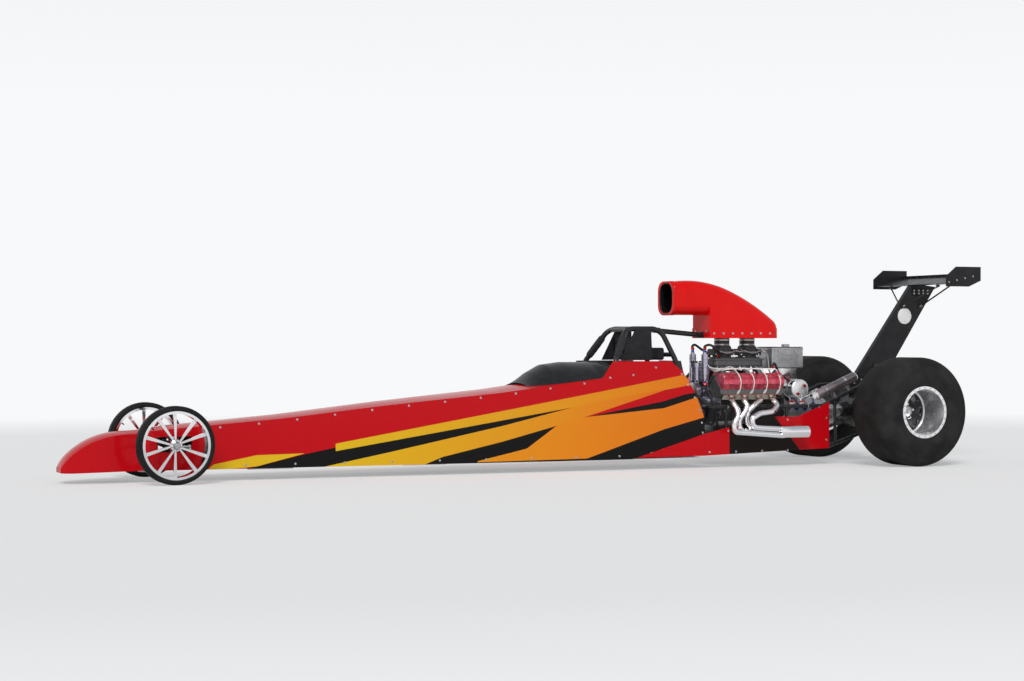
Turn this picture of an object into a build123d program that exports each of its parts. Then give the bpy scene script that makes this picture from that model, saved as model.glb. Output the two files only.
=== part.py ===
from build123d import *
from math import atan2, cos, radians, sin, sqrt, tan
import os

# Rear-engined drag racing car. Millimetres, X forward, Y to the car's left, Z up.
# Pieces are drawn from the rear axle line (x = 0) and written out with the origin
# under the middle of the overall length, on the ground.

# Overall layout
wheelbase = 5960.0
nose_overhang = 725.0
tail_overhang = 850.0
origin_shift = tail_overhang - (nose_overhang + wheelbase + tail_overhang) / 2

front_axle_x = wheelbase

# Fits and clearances
seat_gap = 0.2
pin_clearance = 0.05
running_gap = 6.0

# Wheels and tyres
front_tyre_radius = 277.0
front_tyre_width = 92.0
front_tread_half = 26.0
front_shoulder = 12.0
front_tyre_wall = 7.0
front_bead_inset = 8.2
front_rim_radius = 229.0
front_lip_height = 12.0
front_track = 920.0
kingpin_offset = 75.0
rear_tyre_radius = 438.0
rear_tyre_width = 430.0
rear_tread_half = 130.0
rear_shoulder = 60.0
rear_tyre_wall = 12.0
rear_bead_inset = 10.2
rear_rim_radius = 190.5
rear_lip_height = 17.0
rear_track = 1456.0
rear_rim_width = 420.0
rear_face_offset = 78.0
disc_offset = 220.0
housing_end_offset = 40.0
rim_wall = 6.0

# Body panels
floor_z = 85.0
panel = 3.0
rear_half_width = 330.0
nose_joint_x = front_axle_x + 120.0
hood_rear_x = 2570.0
hood_rear_z = 716.0
body_rear_x = 1860.0
rear_panel_x = 507.0

# Tubes
rail_diameter = 32.0
cage_diameter = 41.0
rail_radius = rail_diameter / 2
cage_radius = cage_diameter / 2

# Engine
crank_z = 430.0
engine_rear_x = 912.0
engine_length = 585.0
deck_height = 235.0
bank_half_width = 75.0
head_height = 100.0
head_flare = 22.0
port_height = 285.0
crankcase_half_width = 150.0
crankcase_depth = 70.0
cover_height = 80.0
cover_half_width = 60.0
port_pitch = 122.0
plate_thickness = 8.0
header_diameter = 46.0
collector_diameter = 98.0
collector_y = 440.0
collector_z = 278.0
collector_end_x = 784.0
collector_length = 266.0
collector_cone = 90.0

# Steering
kingpin_y = front_track / 2 - kingpin_offset
kingpin_radius = 10.0
arm_length = 120.0
spindle_radius = 12.0

# Rear axle
axle_radius = 22.0
housing_tube_radius = 42.0
housing_centre_radius = 150.0
snout_front_x = 195.0
saddle_top_z = 630.0
bracket_thickness = 10.0
hub_flange_radius = 90.0
disc_radius = 150.0
disc_thickness = 12.0
tie_down_radius = 10.0
hub_y = rear_track / 2 - rear_face_offset
disc_y = hub_y - disc_offset
housing_end_y = disc_y - housing_end_offset

# Rear wing
wing_span = 1060.0
wing_chord = 330.0
wing_thickness = 34.0
wing_z = 1485.0
wing_angle = 12.0
end_plate_height = 165.0
end_plate_thickness = 4.0

front_axle_z = front_tyre_radius
rear_axle_z = rear_tyre_radius
rail_y = rear_half_width - panel - seat_gap - rail_radius
engine_front_x = engine_rear_x + engine_length
engine_mid_x = engine_rear_x + engine_length / 2

# Body stations: x, half width, height of the side's top edge, rise of the hood over it
body_stations = (
    (nose_joint_x, 182.0, 364.0, 20.0),
    (front_axle_x - 860.0, 225.0, 442.0, 20.0),
    (front_axle_x - 1660.0, 262.0, 529.0, 20.0),
    (front_axle_x - 2560.0, 302.0, 612.0, 22.0),
    (hood_rear_x, rear_half_width, hood_rear_z, 24.0),
    (rear_panel_x, rear_half_width, hood_rear_z, 24.0),
)

# Nose stations: x, half width, bottom, top edge, rise of the crown
nose_tip_x = front_axle_x + nose_overhang
nose_stations = (
    (nose_tip_x, 84.0, 78.0, 110.0, 10.0),
    (nose_tip_x - 30.0, 104.0, 76.0, 158.0, 14.0),
    (nose_tip_x - 85.0, 122.0, 76.0, 214.0, 17.0),
    (nose_tip_x - 200.0, 146.0, 79.0, 288.0, 19.0),
    (nose_tip_x - 340.0, 160.0, 82.0, 334.0, 20.0),
    (nose_joint_x, 182.0, floor_z, 364.0, 20.0),
)


def save(name, *solids):
    """Write one sub-part, moved to the car's own origin."""
    moved = [Pos(origin_shift, 0, 0) * solid for solid in solids]
    shape = moved[0] if len(moved) == 1 else Compound(children=moved)
    export_step(shape, os.path.join("parts", name + ".step"))


def body_at(x):
    """Half width, top edge and crown of the body at a place along the car."""
    for ahead, behind in zip(body_stations, body_stations[1:]):
        if x >= behind[0]:
            share = (ahead[0] - x) / (ahead[0] - behind[0])
            return tuple(a + (b - a) * share for a, b in zip(ahead[1:], behind[1:]))
    return body_stations[-1][1:]


def side_prism(outline, y_low, y_high):
    """A plate or block whose outline is drawn in side view, from y_low to y_high."""
    face = Plane.XZ.offset(-y_high) * make_face(Polyline(*outline, close=True))
    return extrude(face, amount=y_high - y_low)


def end_prism(outline, x_low, x_high):
    """A block whose outline is drawn in end view (y, z), from x_low to x_high."""
    face = Plane.YZ.offset(x_low) * make_face(Polyline(*outline, close=True))
    return extrude(face, amount=x_high - x_low)


def turned(profile, x, z):
    """A turned piece on a cross-car axis: the profile holds (radius, y) points."""
    return Pos(x, 0, z) * revolve(make_face(Polyline(*profile, close=True)), Axis.Y)


def rod(start, end, diameter):
    """A straight round bar between two points."""
    start, end = Vector(*start), Vector(*end)
    run = end - start
    return extrude(Plane(origin=start, z_dir=run) * Circle(diameter / 2), amount=run.length)


def tube(points, diameter, largest_bend=75.0):
    """A round tube along straight runs joined by arcs as large as the runs allow."""
    points = [Vector(*point) for point in points]
    if len(points) == 2:
        return rod(tuple(points[0]), tuple(points[1]), diameter)
    bends = []
    for before, corner, after in zip(points, points[1:], points[2:]):
        run_in, run_out = corner - before, after - corner
        half_turn = radians(run_in.get_angle(run_out)) / 2
        bends.append(min(largest_bend, 0.45 * min(run_in.length, run_out.length) / tan(half_turn)))
    path = FilletPolyline(*points, radius=bends)
    return sweep(Plane(origin=path @ 0, z_dir=path % 0) * Circle(diameter / 2), path=path)


def mirrored(solid):
    """The same piece on the other side of the car."""
    return mirror(solid, about=Plane.XZ)


def both_sides(points, diameter, largest_bend=75.0):
    """A tube and its twin on the other side."""
    left = tube(points, diameter, largest_bend)
    return [left, mirrored(left)]


def fused(pieces):
    """One solid from several that meet."""
    whole = pieces[0]
    for piece in pieces[1:]:
        whole = whole + piece
    return whole


def arched_section(x, half_width, edge_z, rise, thickness):
    """A curved band in end view: an arch of even depth from side to side."""
    upper = ThreePointArc(
        (-half_width, edge_z + thickness), (0, edge_z + rise + thickness), (half_width, edge_z + thickness)
    )
    lower = ThreePointArc((half_width, edge_z), (0, edge_z + rise), (-half_width, edge_z))
    edges = [upper, Line(upper @ 1, lower @ 0), lower, Line(lower @ 1, upper @ 0)]
    return Plane.YZ.offset(x) * make_face(edges)


def domed_section(x, half_width, bottom, edge_z, rise):
    """A flat-bottomed, straight-sided section with a crowned top, in end view."""
    crown = ThreePointArc((-half_width, edge_z), (0, edge_z + rise), (half_width, edge_z))
    base = Polyline((half_width, edge_z), (half_width, bottom), (-half_width, bottom), (-half_width, edge_z))
    return Plane.YZ.offset(x) * make_face([crown, base])


def lengthways(x_low, x_high):
    """A block that takes in all of the car between two places."""
    return side_prism(((x_low, 0), (x_high, 0), (x_high, 2000.0), (x_low, 2000.0)), -rear_track, rear_track)


# Nose cone: a closed shell, open at its back face
def nose_cone():
    outer = loft([domed_section(*row) for row in nose_stations])
    inner_rows = [
        (x if x == nose_joint_x else x - 2 * panel, half - panel, low + panel, top - panel, rise)
        for x, half, low, top, rise in nose_stations
    ]
    return outer - loft([domed_section(*row) for row in inner_rows])


# Side panels: one curved-in-plan wall a side, cut to the outline seen from the side
step_x = 2500.0
step_z = 816.0
cockpit_z = 850.0
firewall_x = 1800.0
panel_rear_x = 1660.0
panel_rear_z = 275.0
panel_foot_x = 2310.0
side_outline = [
    (nose_joint_x - seat_gap, floor_z),
    (nose_joint_x - seat_gap, body_stations[0][2]),
] + [(x, top) for x, half, top, rise in body_stations[1:-1]] + [
    (step_x, step_z),
    (step_x - 24.0, cockpit_z),
    (1968.0, cockpit_z),
    (body_rear_x, 764.0),
    (1745.0, 590.0),
    (1675.0, 418.0),
    (panel_rear_x, panel_rear_z),
    (panel_foot_x, floor_z),
]
axle_window = (front_axle_x - 185.0, front_axle_x + 65.0, 215.0, 325.0)


def body_side():
    wall_top = 900.0
    sections = []
    for x, half, top, rise in body_stations:
        outline = ((half - panel, 0), (half, 0), (half, wall_top), (half - panel, wall_top))
        sections.append(Plane.YZ.offset(x) * make_face(Polyline(*outline, close=True)))
    wall = loft(sections, ruled=True)
    wall = wall & side_prism(side_outline, 0, 2 * rear_half_width)
    x_low, x_high, z_low, z_high = axle_window
    window = side_prism(
        ((x_low, z_low), (x_high, z_low), (x_high, z_high), (x_low, z_high)), 0, 2 * rear_half_width
    )
    return wall - window


def hood_panel():
    sections = []
    for x, half, top, rise in body_stations[:-1]:
        place = x - seat_gap if x == nose_joint_x else x
        sections.append(arched_section(place, half, top + seat_gap, rise, panel))
    return loft(sections, ruled=True)


def hood_surface(x, y):
    """Height of the hood's outer surface."""
    half, top, rise = body_at(x)
    arc = (half * half + rise * rise) / (2 * rise)
    return top + seat_gap + panel + sqrt(arc * arc - y * y) - (arc - rise)


# Cowl stations: x, inset from the body's half width, crest height
cowl_crest = 843.0
cowl_stations = (
    (3150.0, 105.0, 684.0),
    (3045.0, 58.0, 768.0),
    (2940.0, 24.0, 824.0),
    (2790.0, 8.0, cowl_crest),
    (hood_rear_x, 2.0, cowl_crest),
)


def cockpit_cowl():
    sections = []
    for x, inset, crest in cowl_stations:
        y = body_at(x)[0] - inset
        base = hood_surface(x, y) + seat_gap
        sections.append(arched_section(x, y, base, crest - base - panel, panel))
    half = rear_half_width - cowl_stations[-1][1]
    base = step_z + 4 * seat_gap
    sections.append(arched_section(step_x, half, base, cowl_crest - base - panel, panel))
    return loft(sections, ruled=True)


def belly_pan():
    outline = [(x, half - panel - seat_gap) for x, half, top, rise in body_stations[:-1]]
    outline[0] = (nose_joint_x - seat_gap, outline[0][1])
    outline.append((1700.0, rear_half_width - panel - seat_gap))
    corners = outline + [(x, -y) for x, y in reversed(outline)]
    return Pos(0, 0, floor_z) * extrude(make_face(Polyline(*corners, close=True)), amount=panel)


# Lower panels beside the engine: outline in side view
rear_panel_outline = (
    (panel_foot_x - 40.0, floor_z + 10.0),
    (panel_rear_x, panel_rear_z - 2.0),
    (1060.0, 400.0),
    (810.0, 395.0),
    (rear_panel_x, 508.0),
    (rear_panel_x, 134.0),
    (panel_rear_x, 98.0),
)


def rear_side_panel():
    return side_prism(rear_panel_outline, rear_half_width - panel, rear_half_width)


def firewall():
    half = rail_y - rail_radius - seat_gap
    left = [(half, 140.0), (half, 655.0), (235.0, 740.0), (185.0, cockpit_z)]
    outline = left + [(-y, z) for y, z in reversed(left)]
    return end_prism(outline, firewall_x, firewall_x + panel)


# Frame: lower and upper rails, uprights and cross tubes
rail_front_x = front_axle_x + 80.0
rail_inset = 30.0
lower_rail = (
    (rail_front_x, 140.0, 112.0),
    (body_stations[1][0], body_stations[1][1] - rail_inset, 112.0),
    (body_stations[3][0], body_stations[3][1] - rail_inset, 112.0),
    (hood_rear_x, rail_y, 112.0),
    (1700.0, rail_y, 112.0),
    (500.0, rail_y, 150.0),
    (40.0, rail_y, 300.0),
)
upper_rail = (
    (rail_front_x, 140.0, 316.0),
    (body_stations[1][0], body_stations[1][1] - rail_inset, 415.0),
    (body_stations[3][0], body_stations[3][1] - rail_inset, 590.0),
    (hood_rear_x, rail_y, 672.0),
    (1850.0, rail_y, 672.0),
    (1600.0, rail_y, 480.0),
    (560.0, rail_y, 480.0),
    (200.0, rail_y, 634.0),
    (0.0, rail_y, 640.0),
)


def rail_point(rail, x):
    """The point of a rail's centre line at a place along the car."""
    for ahead, behind in zip(rail, rail[1:]):
        if x >= behind[0]:
            share = (ahead[0] - x) / (ahead[0] - behind[0])
            return tuple(a + (b - a) * share for a, b in zip(ahead, behind))
    return rail[-1]


dash_x = 2750.0
column_diameter = 22.0
cross_diameter = 24.0
cross_places = (rail_front_x - 20.0, front_axle_x - 1060.0, front_axle_x - 2460.0, 2400.0, firewall_x, 440.0)
upright_places = cross_places + (
    front_axle_x - 460.0, front_axle_x - 1760.0, 2980.0, 1460.0, 900.0
)


def frame_rails():
    pieces = both_sides(lower_rail, rail_diameter) + both_sides(upper_rail, rail_diameter)
    for x in upright_places:
        pieces += both_sides((rail_point(lower_rail, x), rail_point(upper_rail, x)), cross_diameter)
    ends = [rail_point(lower_rail, x) for x in cross_places] + [rail_point(upper_rail, dash_x)]
    for x, y, z in ends:
        pieces.append(rod((x, y, z), (x, -y, z), cross_diameter))
    return fused(pieces)


# Roll cage: side loops over the driver, cross tubes and the brace to the scoop's neck
cage_y = 150.0
cage_top_z = 1104.0
cage_front_x = 2275.0
cage_rear_x = 1970.0
cage_base_z = upper_rail[3][2]
cage_foot_y = rail_y - cage_radius + rail_radius
cage_loop = (
    (2440.0, cage_foot_y, cage_base_z),
    (2427.0, 274.0, 845.0),
    (cage_front_x, cage_y, cage_top_z),
    (cage_rear_x, cage_y, cage_top_z),
    (1885.0, 235.0, 870.0),
    (1840.0, cage_foot_y, cage_base_z),
)
# Cross tubes: x, half length, height
cage_crosses = (
    (cage_front_x - 10.0, cage_y, cage_top_z - 8.0),
    (cage_rear_x + 10.0, cage_y, cage_top_z - 8.0),
    (1897.0, 224.0, 900.0),
)
brace_z = 1056.0
brace_plate = (6.0, 90.0, 52.0)


def roll_cage():
    pieces = both_sides(cage_loop, cage_diameter, 110.0)
    for x, half, z in cage_crosses:
        pieces.append(rod((x, -half, z), (x, half, z), cage_diameter * 0.9))
    foot_x = neck_x + skirt_step + seat_gap
    start = (cage_rear_x + 10.0, 0.0, cage_top_z - 8.0)
    pieces.append(rod(start, (foot_x + brace_plate[0] / 2, 0.0, brace_z), cage_diameter))
    foot = Pos(foot_x + brace_plate[0] / 2, 0, brace_z + 4.0) * Box(*brace_plate)
    whole = fused(pieces)
    whole = (whole - lengthways(0, foot_x)) + foot
    rails = both_sides(upper_rail, rail_diameter + 2 * seat_gap)
    return whole - rails[0] - rails[1]


def head_shroud():
    foot_z = cockpit_z + 6.0
    outline = ((2330.0, foot_z), (2200.0, cage_top_z + 2.0), (2062.0, cage_top_z + 2.0), (2050.0, foot_z))
    inner = cage_y + cage_radius + seat_gap
    left = side_prism(outline, inner, inner + panel)
    return [left, mirrored(left)]


seat_half_width = 190.0
seat_wing = 10.0


def seat():
    back_outline = ((1880.0, 760.0), (1920.0, 760.0), (2080.0, 160.0), (2030.0, 130.0))
    base_outline = ((2030.0, 130.0), (2480.0, 190.0), (2480.0, 215.0), (2060.0, 165.0))
    wing_outline = (
        (1880.0, 700.0), (1990.0, 690.0), (2150.0, 330.0), (2480.0, 300.0), (2480.0, 190.0), (2030.0, 130.0)
    )
    back = side_prism(back_outline, -seat_half_width, seat_half_width)
    base = side_prism(base_outline, -seat_half_width, seat_half_width)
    left = side_prism(wing_outline, seat_half_width, seat_half_width + seat_wing)
    foot_z = floor_z + panel + seat_gap
    feet = [
        side_prism(((x, foot_z), (x + 30.0, foot_z), (x + 30.0, 200.0), (x, 150.0)), -150.0, 150.0)
        for x in (2060.0, 2300.0)
    ]
    return fused([back, base, left, mirrored(left)] + feet)


yoke_x = 2440.0
yoke_z = 722.0


def steering_yoke():
    cross = rail_point(upper_rail, dash_x)
    rest_z = cross[2] + (cross_diameter + column_diameter) / 2 + 2.0
    fall = (yoke_z - rest_z) / (dash_x - yoke_x)
    column_end = (dash_x + 150.0, 0.0, rest_z - 150.0 * fall)
    column = rod(column_end, (yoke_x, 0.0, yoke_z), column_diameter)
    grips = [(yoke_x, -150.0, yoke_z + 68.0), (yoke_x - 10.0, -100.0, yoke_z + 2.0)]
    grips += [(x, -y, z) for x, y, z in reversed(grips)]
    bar = tube(grips, 24.0)
    block = Pos(dash_x, 0, cross[2] + 12.0) * Box(26.0, 40.0, 34.0)
    groove = rod((dash_x, -60.0, cross[2]), (dash_x, 60.0, cross[2]), cross_diameter + 2 * seat_gap)
    return fused([column, bar, block - groove])


# Engine: both banks lean 45 degrees from the crank. u runs up a bank, v across it, outwards.
bank_lean = sin(radians(45.0))


def bank(u, v, side=1):
    return (side * (u + v) * bank_lean, crank_z + (u - v) * bank_lean)


def bank_prism(outline, x_low, x_high):
    left = end_prism([bank(u, v) for u, v in outline], x_low, x_high)
    return [left, mirrored(left)]


def engine_block():
    left = [
        (crankcase_half_width, crank_z - crankcase_depth),
        (crankcase_half_width, crank_z + 20.0),
        bank(deck_height, bank_half_width),
        bank(deck_height, -bank_half_width),
        (50.0, 600.0),
    ]
    outline = left + [(-y, z) for y, z in reversed(left)]
    block = end_prism(outline, engine_rear_x, engine_front_x)
    plug_z = crank_z - 25.0
    for x in port_places:
        plug = rod((x, crankcase_half_width - 10.0, plug_z), (x, crankcase_half_width + 3.0, plug_z), 44.0)
        block = block + plug + mirrored(plug)
    # The starter and its solenoid hang on a bracket low on the right: start, length, y, z, diameter
    starter_y = -200.0
    starter_z = crank_z - 85.0
    starter, solenoid = [
        rod((engine_rear_x + start, y, z), (engine_rear_x + start + length, y, z), diameter)
        for start, length, y, z, diameter in (
            (6.0, 184.0, starter_y, starter_z, 78.0),
            (40.0, 110.0, starter_y - 8.0, starter_z + 54.0, 44.0),
        )
    ]
    bracket = Pos(engine_rear_x + 60.0, -170.0, starter_z + 40.0) * Box(50.0, 60.0, 40.0)
    return fused([block, starter, solenoid, bracket])


def oil_pan():
    top = crank_z - crankcase_depth - seat_gap
    left = [(crankcase_half_width, top), (crankcase_half_width, top - 30.0), (125.0, 170.0)]
    outline = left + [(-y, z) for y, z in reversed(left)]
    return end_prism(outline, engine_rear_x + 10.0, engine_front_x - 10.0)


def cylinder_heads():
    low = deck_height + seat_gap
    high = deck_height + head_height
    outline = (
        (low, -bank_half_width),
        (low, bank_half_width),
        (low + 20.0, bank_half_width + head_flare),
        (high - 20.0, bank_half_width + head_flare),
        (high, bank_half_width - 8.0),
        (high, -bank_half_width),
    )
    return bank_prism(outline, engine_rear_x, engine_front_x)


def valve_covers():
    low = deck_height + head_height + seat_gap
    high = low + cover_height
    slope = 25.0
    flange = 6.0
    outline = (
        (low, -cover_half_width - flange),
        (low, cover_half_width + flange),
        (low + flange, cover_half_width + flange),
        (low + flange, cover_half_width),
        (high - slope, cover_half_width),
        (high, cover_half_width - slope),
        (high, slope - cover_half_width),
        (high - slope, -cover_half_width),
        (low + flange, -cover_half_width),
        (low + flange, -cover_half_width - flange),
    )
    left = bank_prism(outline, engine_rear_x + 12.0, engine_front_x - 12.0)[0]
    # Two breathers and a filler cap on the top face: place along the cover, radius, height
    for share, radius, height in ((0.14, 17.0, 46.0), (0.5, 26.0, 20.0), (0.86, 17.0, 46.0)):
        x = engine_rear_x + share * engine_length
        for reach, size in ((height, radius), (height * 0.35, radius + 5.0)):
            left = left + rod((x,) + bank(high - 5.0, 0), (x,) + bank(high + reach, 0), 2 * size)
    return [left, mirrored(left)]


port_places = [engine_mid_x + port_pitch * step for step in (1.5, 0.5, -0.5, -1.5)]
plenum_z = 800.0
plenum_height = 65.0
carb_z = plenum_z + plenum_height
scoop_base_z = 1030.0


def intake_manifold():
    face = -bank_half_width - seat_gap
    flange_outline = ((255.0, face), (330.0, face), (330.0, face - 10.0), (255.0, face - 10.0))
    plenum_length = engine_length - 125.0
    plenum = Pos(engine_mid_x, 0, plenum_z + plenum_height / 2) * Box(plenum_length, 170.0, plenum_height)
    lid = Pos(engine_mid_x, 0, carb_z - 5.0) * Box(plenum_length + 20.0, 190.0, 10.0)
    seam = Pos(engine_mid_x, 0, plenum_z + 14.0) * Box(plenum_length + 16.0, 186.0, 8.0)
    pieces = [fillet(block.edges().filter_by(Axis.Z), 40.0) for block in (plenum, lid, seam)]
    for x in port_places:
        y, z = bank(295.0, face - 5.0)
        shoulder = engine_mid_x + (x - engine_mid_x) * 0.85
        runner = rod((x, y, z), (shoulder, 52.0, plenum_z + 8.0), 52.0)
        pieces += [runner, mirrored(runner)]
    flanges = bank_prism(flange_outline, engine_rear_x + 20.0, engine_front_x - 20.0)
    return fused(pieces + flanges)


carb_spacing = 236.0
carb_places = (engine_mid_x + carb_spacing / 2, engine_mid_x - carb_spacing / 2)
carb_body = (118.0, 130.0, 84.0)
horn_radius = 62.0


def carburettor(x):
    low = carb_z + seat_gap
    base = Pos(x, 0, low + 6.0) * Box(150.0, 150.0, 12.0)
    main = Pos(x, 0, low + 12.0 + carb_body[2] / 2) * Box(*carb_body)
    pieces = [base, fillet(main.edges().filter_by(Axis.Z), 18.0)]
    for end in (1, -1):
        centre = x + end * (carb_body[0] / 2 + 22.0)
        bowl = Pos(centre, 0, low + 52.0) * Box(46.0, 100.0, 54.0)
        pieces.append(fillet(bowl.edges().filter_by(Axis.Y), 10.0))
        pieces.append(rod((centre, 40.0, low + 62.0), (centre, 68.0, low + 62.0), 18.0))
        shaft_x = x + end * 30.0
        pieces.append(rod((shaft_x, -84.0, low + 24.0), (shaft_x, 84.0, low + 24.0), 9.0))
        lever = ((shaft_x - 9.0, low + 18.0), (shaft_x + 9.0, low + 18.0), (shaft_x + 5.0, low + 58.0),
                 (shaft_x - 5.0, low + 58.0))
        pieces.append(side_prism(lever, 76.0, 80.0))
    top = low + 12.0 + carb_body[2]
    pieces.append(Pos(x, 0, top + 4.0) * Cylinder(horn_radius + 8.0, 8.0))
    horn_height = scoop_base_z - top
    pieces.append(Pos(x, 0, top + horn_height / 2) * Cylinder(horn_radius, horn_height))
    return fused(pieces)


# Scoop: a rounded duct ahead of a tall box, with a rolled lip round the mouth and a skirt round the base
scoop_half_width = 142.0
scoop_wall = 4.0
scoop_rear_x = engine_rear_x - 56.0
scoop_length = 982.0
scoop_height = 456.0
neck_length = 656.0
duct_rise = 186.0
scoop_corner = 80.0
rear_corner = 95.0
lip_length = 34.0
lip_width = 44.0
lip_round = 11.0
lip_step = 3.0
skirt_height = 82.0
skirt_step = 4.0
neck_x = scoop_rear_x + neck_length
scoop_low_z = scoop_base_z + seat_gap

# The crown's points, as shares of the scoop's length and height: two arcs, the second tangent to the first
duct_end_x = scoop_rear_x + scoop_length - lip_length
mouth_top = (duct_end_x, scoop_low_z + scoop_height)
crown_points = ((0.656, 0.982), (0.462, 0.859), (0.0, 0.262))


def scoop_profile():
    crest, shoulder, tail = [
        (scoop_rear_x + along * scoop_length, scoop_low_z + up * scoop_height) for along, up in crown_points
    ]
    front = ThreePointArc(mouth_top, crest, shoulder)
    back = TangentArc(shoulder, tail, tangent=front % 1)
    rest = Polyline(
        tail,
        (scoop_rear_x, scoop_low_z),
        (neck_x, scoop_low_z),
        (neck_x, scoop_low_z + duct_rise),
        (duct_end_x, scoop_low_z + duct_rise),
        mouth_top,
    )
    face = make_face([front, back, rest])
    return fillet(face.vertices().sort_by_distance(tail)[0], rear_corner)


def scoop_form(inset):
    """The scoop's outer form, or the same form set in by a wall."""
    face = scoop_profile()
    if inset:
        face = offset(face, amount=-inset)
    half = scoop_half_width - inset
    whole = extrude(Plane.XZ.offset(-half) * face, amount=2 * half)
    ahead = lengthways(neck_x - inset, neck_x + scoop_length)
    blocks = []
    for block in (whole & ahead, whole - ahead):
        long_edges = [
            edge for edge in block.edges()
            if abs(abs(edge.center().Y) - half) < 0.01
            and edge.bounding_box().size.X > 0.1 * scoop_length
            and edge.center().Z > scoop_low_z + skirt_height
        ]
        blocks.append(fillet(long_edges, scoop_corner - inset))
    return blocks[0] + blocks[1]


def air_scoop():
    shell = scoop_form(0.0) - scoop_form(scoop_wall)
    # The lip: a ring round the mouth, rolled over at its front edges
    mouth_plane = Plane.YZ.offset(duct_end_x) * Pos(0, scoop_low_z + (duct_rise + scoop_height) / 2)
    duct_height = scoop_height - duct_rise
    rim = mouth_plane * RectangleRounded(
        2 * (scoop_half_width + lip_step), duct_height + 2 * lip_step, scoop_corner + lip_step
    )
    opening = mouth_plane * RectangleRounded(
        2 * (scoop_half_width - lip_width), duct_height - lip_width, scoop_corner - lip_step
    )
    cut = extrude(opening, amount=2 * lip_length, both=True)
    lip = extrude(rim, amount=lip_length) - cut
    lip = fillet(lip.faces().sort_by(Axis.X)[-1].edges(), lip_round)
    skirt = Pos((scoop_rear_x + neck_x) / 2, 0, scoop_low_z + skirt_height / 2) * Box(
        neck_length + 2 * skirt_step, 2 * (scoop_half_width + skirt_step), skirt_height
    )
    skirt = fillet(skirt.edges().filter_by(Axis.Z).group_by(Axis.X)[0], scoop_corner + skirt_step)
    whole = (shell - cut) + lip + (skirt - scoop_form(scoop_wall))
    for x in carb_places:
        whole = whole - Pos(x, 0, scoop_low_z) * Cylinder(horn_radius - scoop_wall, 4 * scoop_wall)
    return whole


# Headers: x, y, z of each primary's corners, from its port to the collector's mouth
tube_step = header_diameter / 2 + 1.0
collector_mouth_x = collector_end_x + collector_length
header_runs = (
    (
        (59.0, 372.0, 534.0), (39.0, 425.0, 468.0), (39.0, 448.0, 413.0), (84.0, 452.0, 351.0),
        (80.0, 456.0, 288.0),
    ),
    (
        (65.0, 362.0, 537.0), (46.0, 392.0, 489.0), (75.0, 395.0, 438.0), (130.0, 395.0, 379.0),
        (119.0, 400.0, 292.0),
    ),
    (
        (21.0, 355.0, 534.0), (95.0, 378.0, 496.0), (149.0, 375.0, 449.0), (174.0, 372.0, 369.0),
        (137.0, 395.0, 306.0),
    ),
    (
        (41.0, 362.0, 537.0), (20.0, 405.0, 490.0), (83.0, 440.0, 444.0), (212.0, 455.0, 431.0),
        (294.0, 462.0, 388.0), (277.0, 464.0, 321.0),
    ),
)


def headers():
    low = collector_z - tube_step
    high = collector_z + tube_step
    ends = (
        (collector_y + tube_step, low),
        (collector_y - tube_step, low),
        (collector_y - tube_step, high),
        (collector_y + tube_step, high),
    )
    pieces = []
    face = bank_half_width + head_flare + seat_gap
    for port_x, run, end in zip(port_places, header_runs, ends):
        port_y, port_z = bank(port_height, face)
        corners = [(port_x + dx, y, z) for dx, y, z in run]
        exit_y, exit_z = bank(port_height, face + 34.0)
        start = [(port_x, port_y, port_z), (port_x, exit_y, exit_z)]
        points = start + corners + [(collector_mouth_x - 10.0,) + end]
        pieces.append(tube(points, header_diameter))
    low_u = port_height - 27.0
    high_u = port_height + 27.0
    flange = end_prism(
        [bank(u, v) for u, v in ((low_u, face), (high_u, face), (high_u, face + 9.0), (low_u, face + 9.0))],
        engine_rear_x + 25.0,
        engine_front_x - 25.0,
    )
    mouth = Plane.YZ.offset(collector_mouth_x) * Pos(collector_y, collector_z) * RectangleRounded(
        2 * header_diameter + 6.0, 2 * header_diameter + 6.0, header_diameter / 2
    )
    throat = Plane.YZ.offset(collector_mouth_x - collector_cone) * Pos(collector_y, collector_z) * Circle(
        collector_diameter / 2
    )
    pieces.append(loft([throat, mouth]))
    outlet = rod(
        (collector_mouth_x - collector_cone, collector_y, collector_z),
        (collector_end_x, collector_y, collector_z),
        collector_diameter,
    )
    pieces.append(outlet)
    whole = fused(pieces + [flange])
    bore = rod(
        (collector_mouth_x - collector_cone + 10.0, collector_y, collector_z),
        (collector_end_x - 10.0, collector_y, collector_z),
        collector_diameter - 5.0,
    )
    return whole - bore


def motor_plates():
    half = rail_y - rail_radius - seat_gap
    outline = (
        (-half, 420.0),
        (-half, 540.0),
        (-200.0, 560.0),
        (-120.0, 640.0),
        (120.0, 640.0),
        (200.0, 560.0),
        (half, 540.0),
        (half, 420.0),
        (170.0, 330.0),
        (-170.0, 330.0),
    )
    front_x = engine_front_x + seat_gap
    rear_x = engine_rear_x - seat_gap - plate_thickness
    return [
        end_prism(outline, front_x, front_x + plate_thickness),
        end_prism(outline, rear_x, rear_x + plate_thickness),
    ]


# Front drive: y, z, then the steps of each wheel as radius, start and end ahead of the motor plate
upper_wheel_z = crank_z + 165.0
belt_start = 56.0
belt_width = 30.0
crank_belt_radius = 60.0
upper_belt_radius = 70.0
belt_thickness = 4.0
drive_wheels = (
    (0.0, crank_z, ((40.0, 0.0, 98.0), (84.0, 16.0, 44.0), (crank_belt_radius, 52.0, 90.0))),
    (0.0, upper_wheel_z, ((26.0, 0.0, 98.0), (upper_belt_radius, 52.0, 90.0))),
    (150.0, 520.0, ((44.0, 0.0, 70.0), (30.0, 70.0, 84.0))),
    (-150.0, 520.0, ((56.0, 0.0, 88.0), (34.0, 88.0, 112.0))),
)
canister_y = 100.0
canister_radius = 28.0


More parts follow.
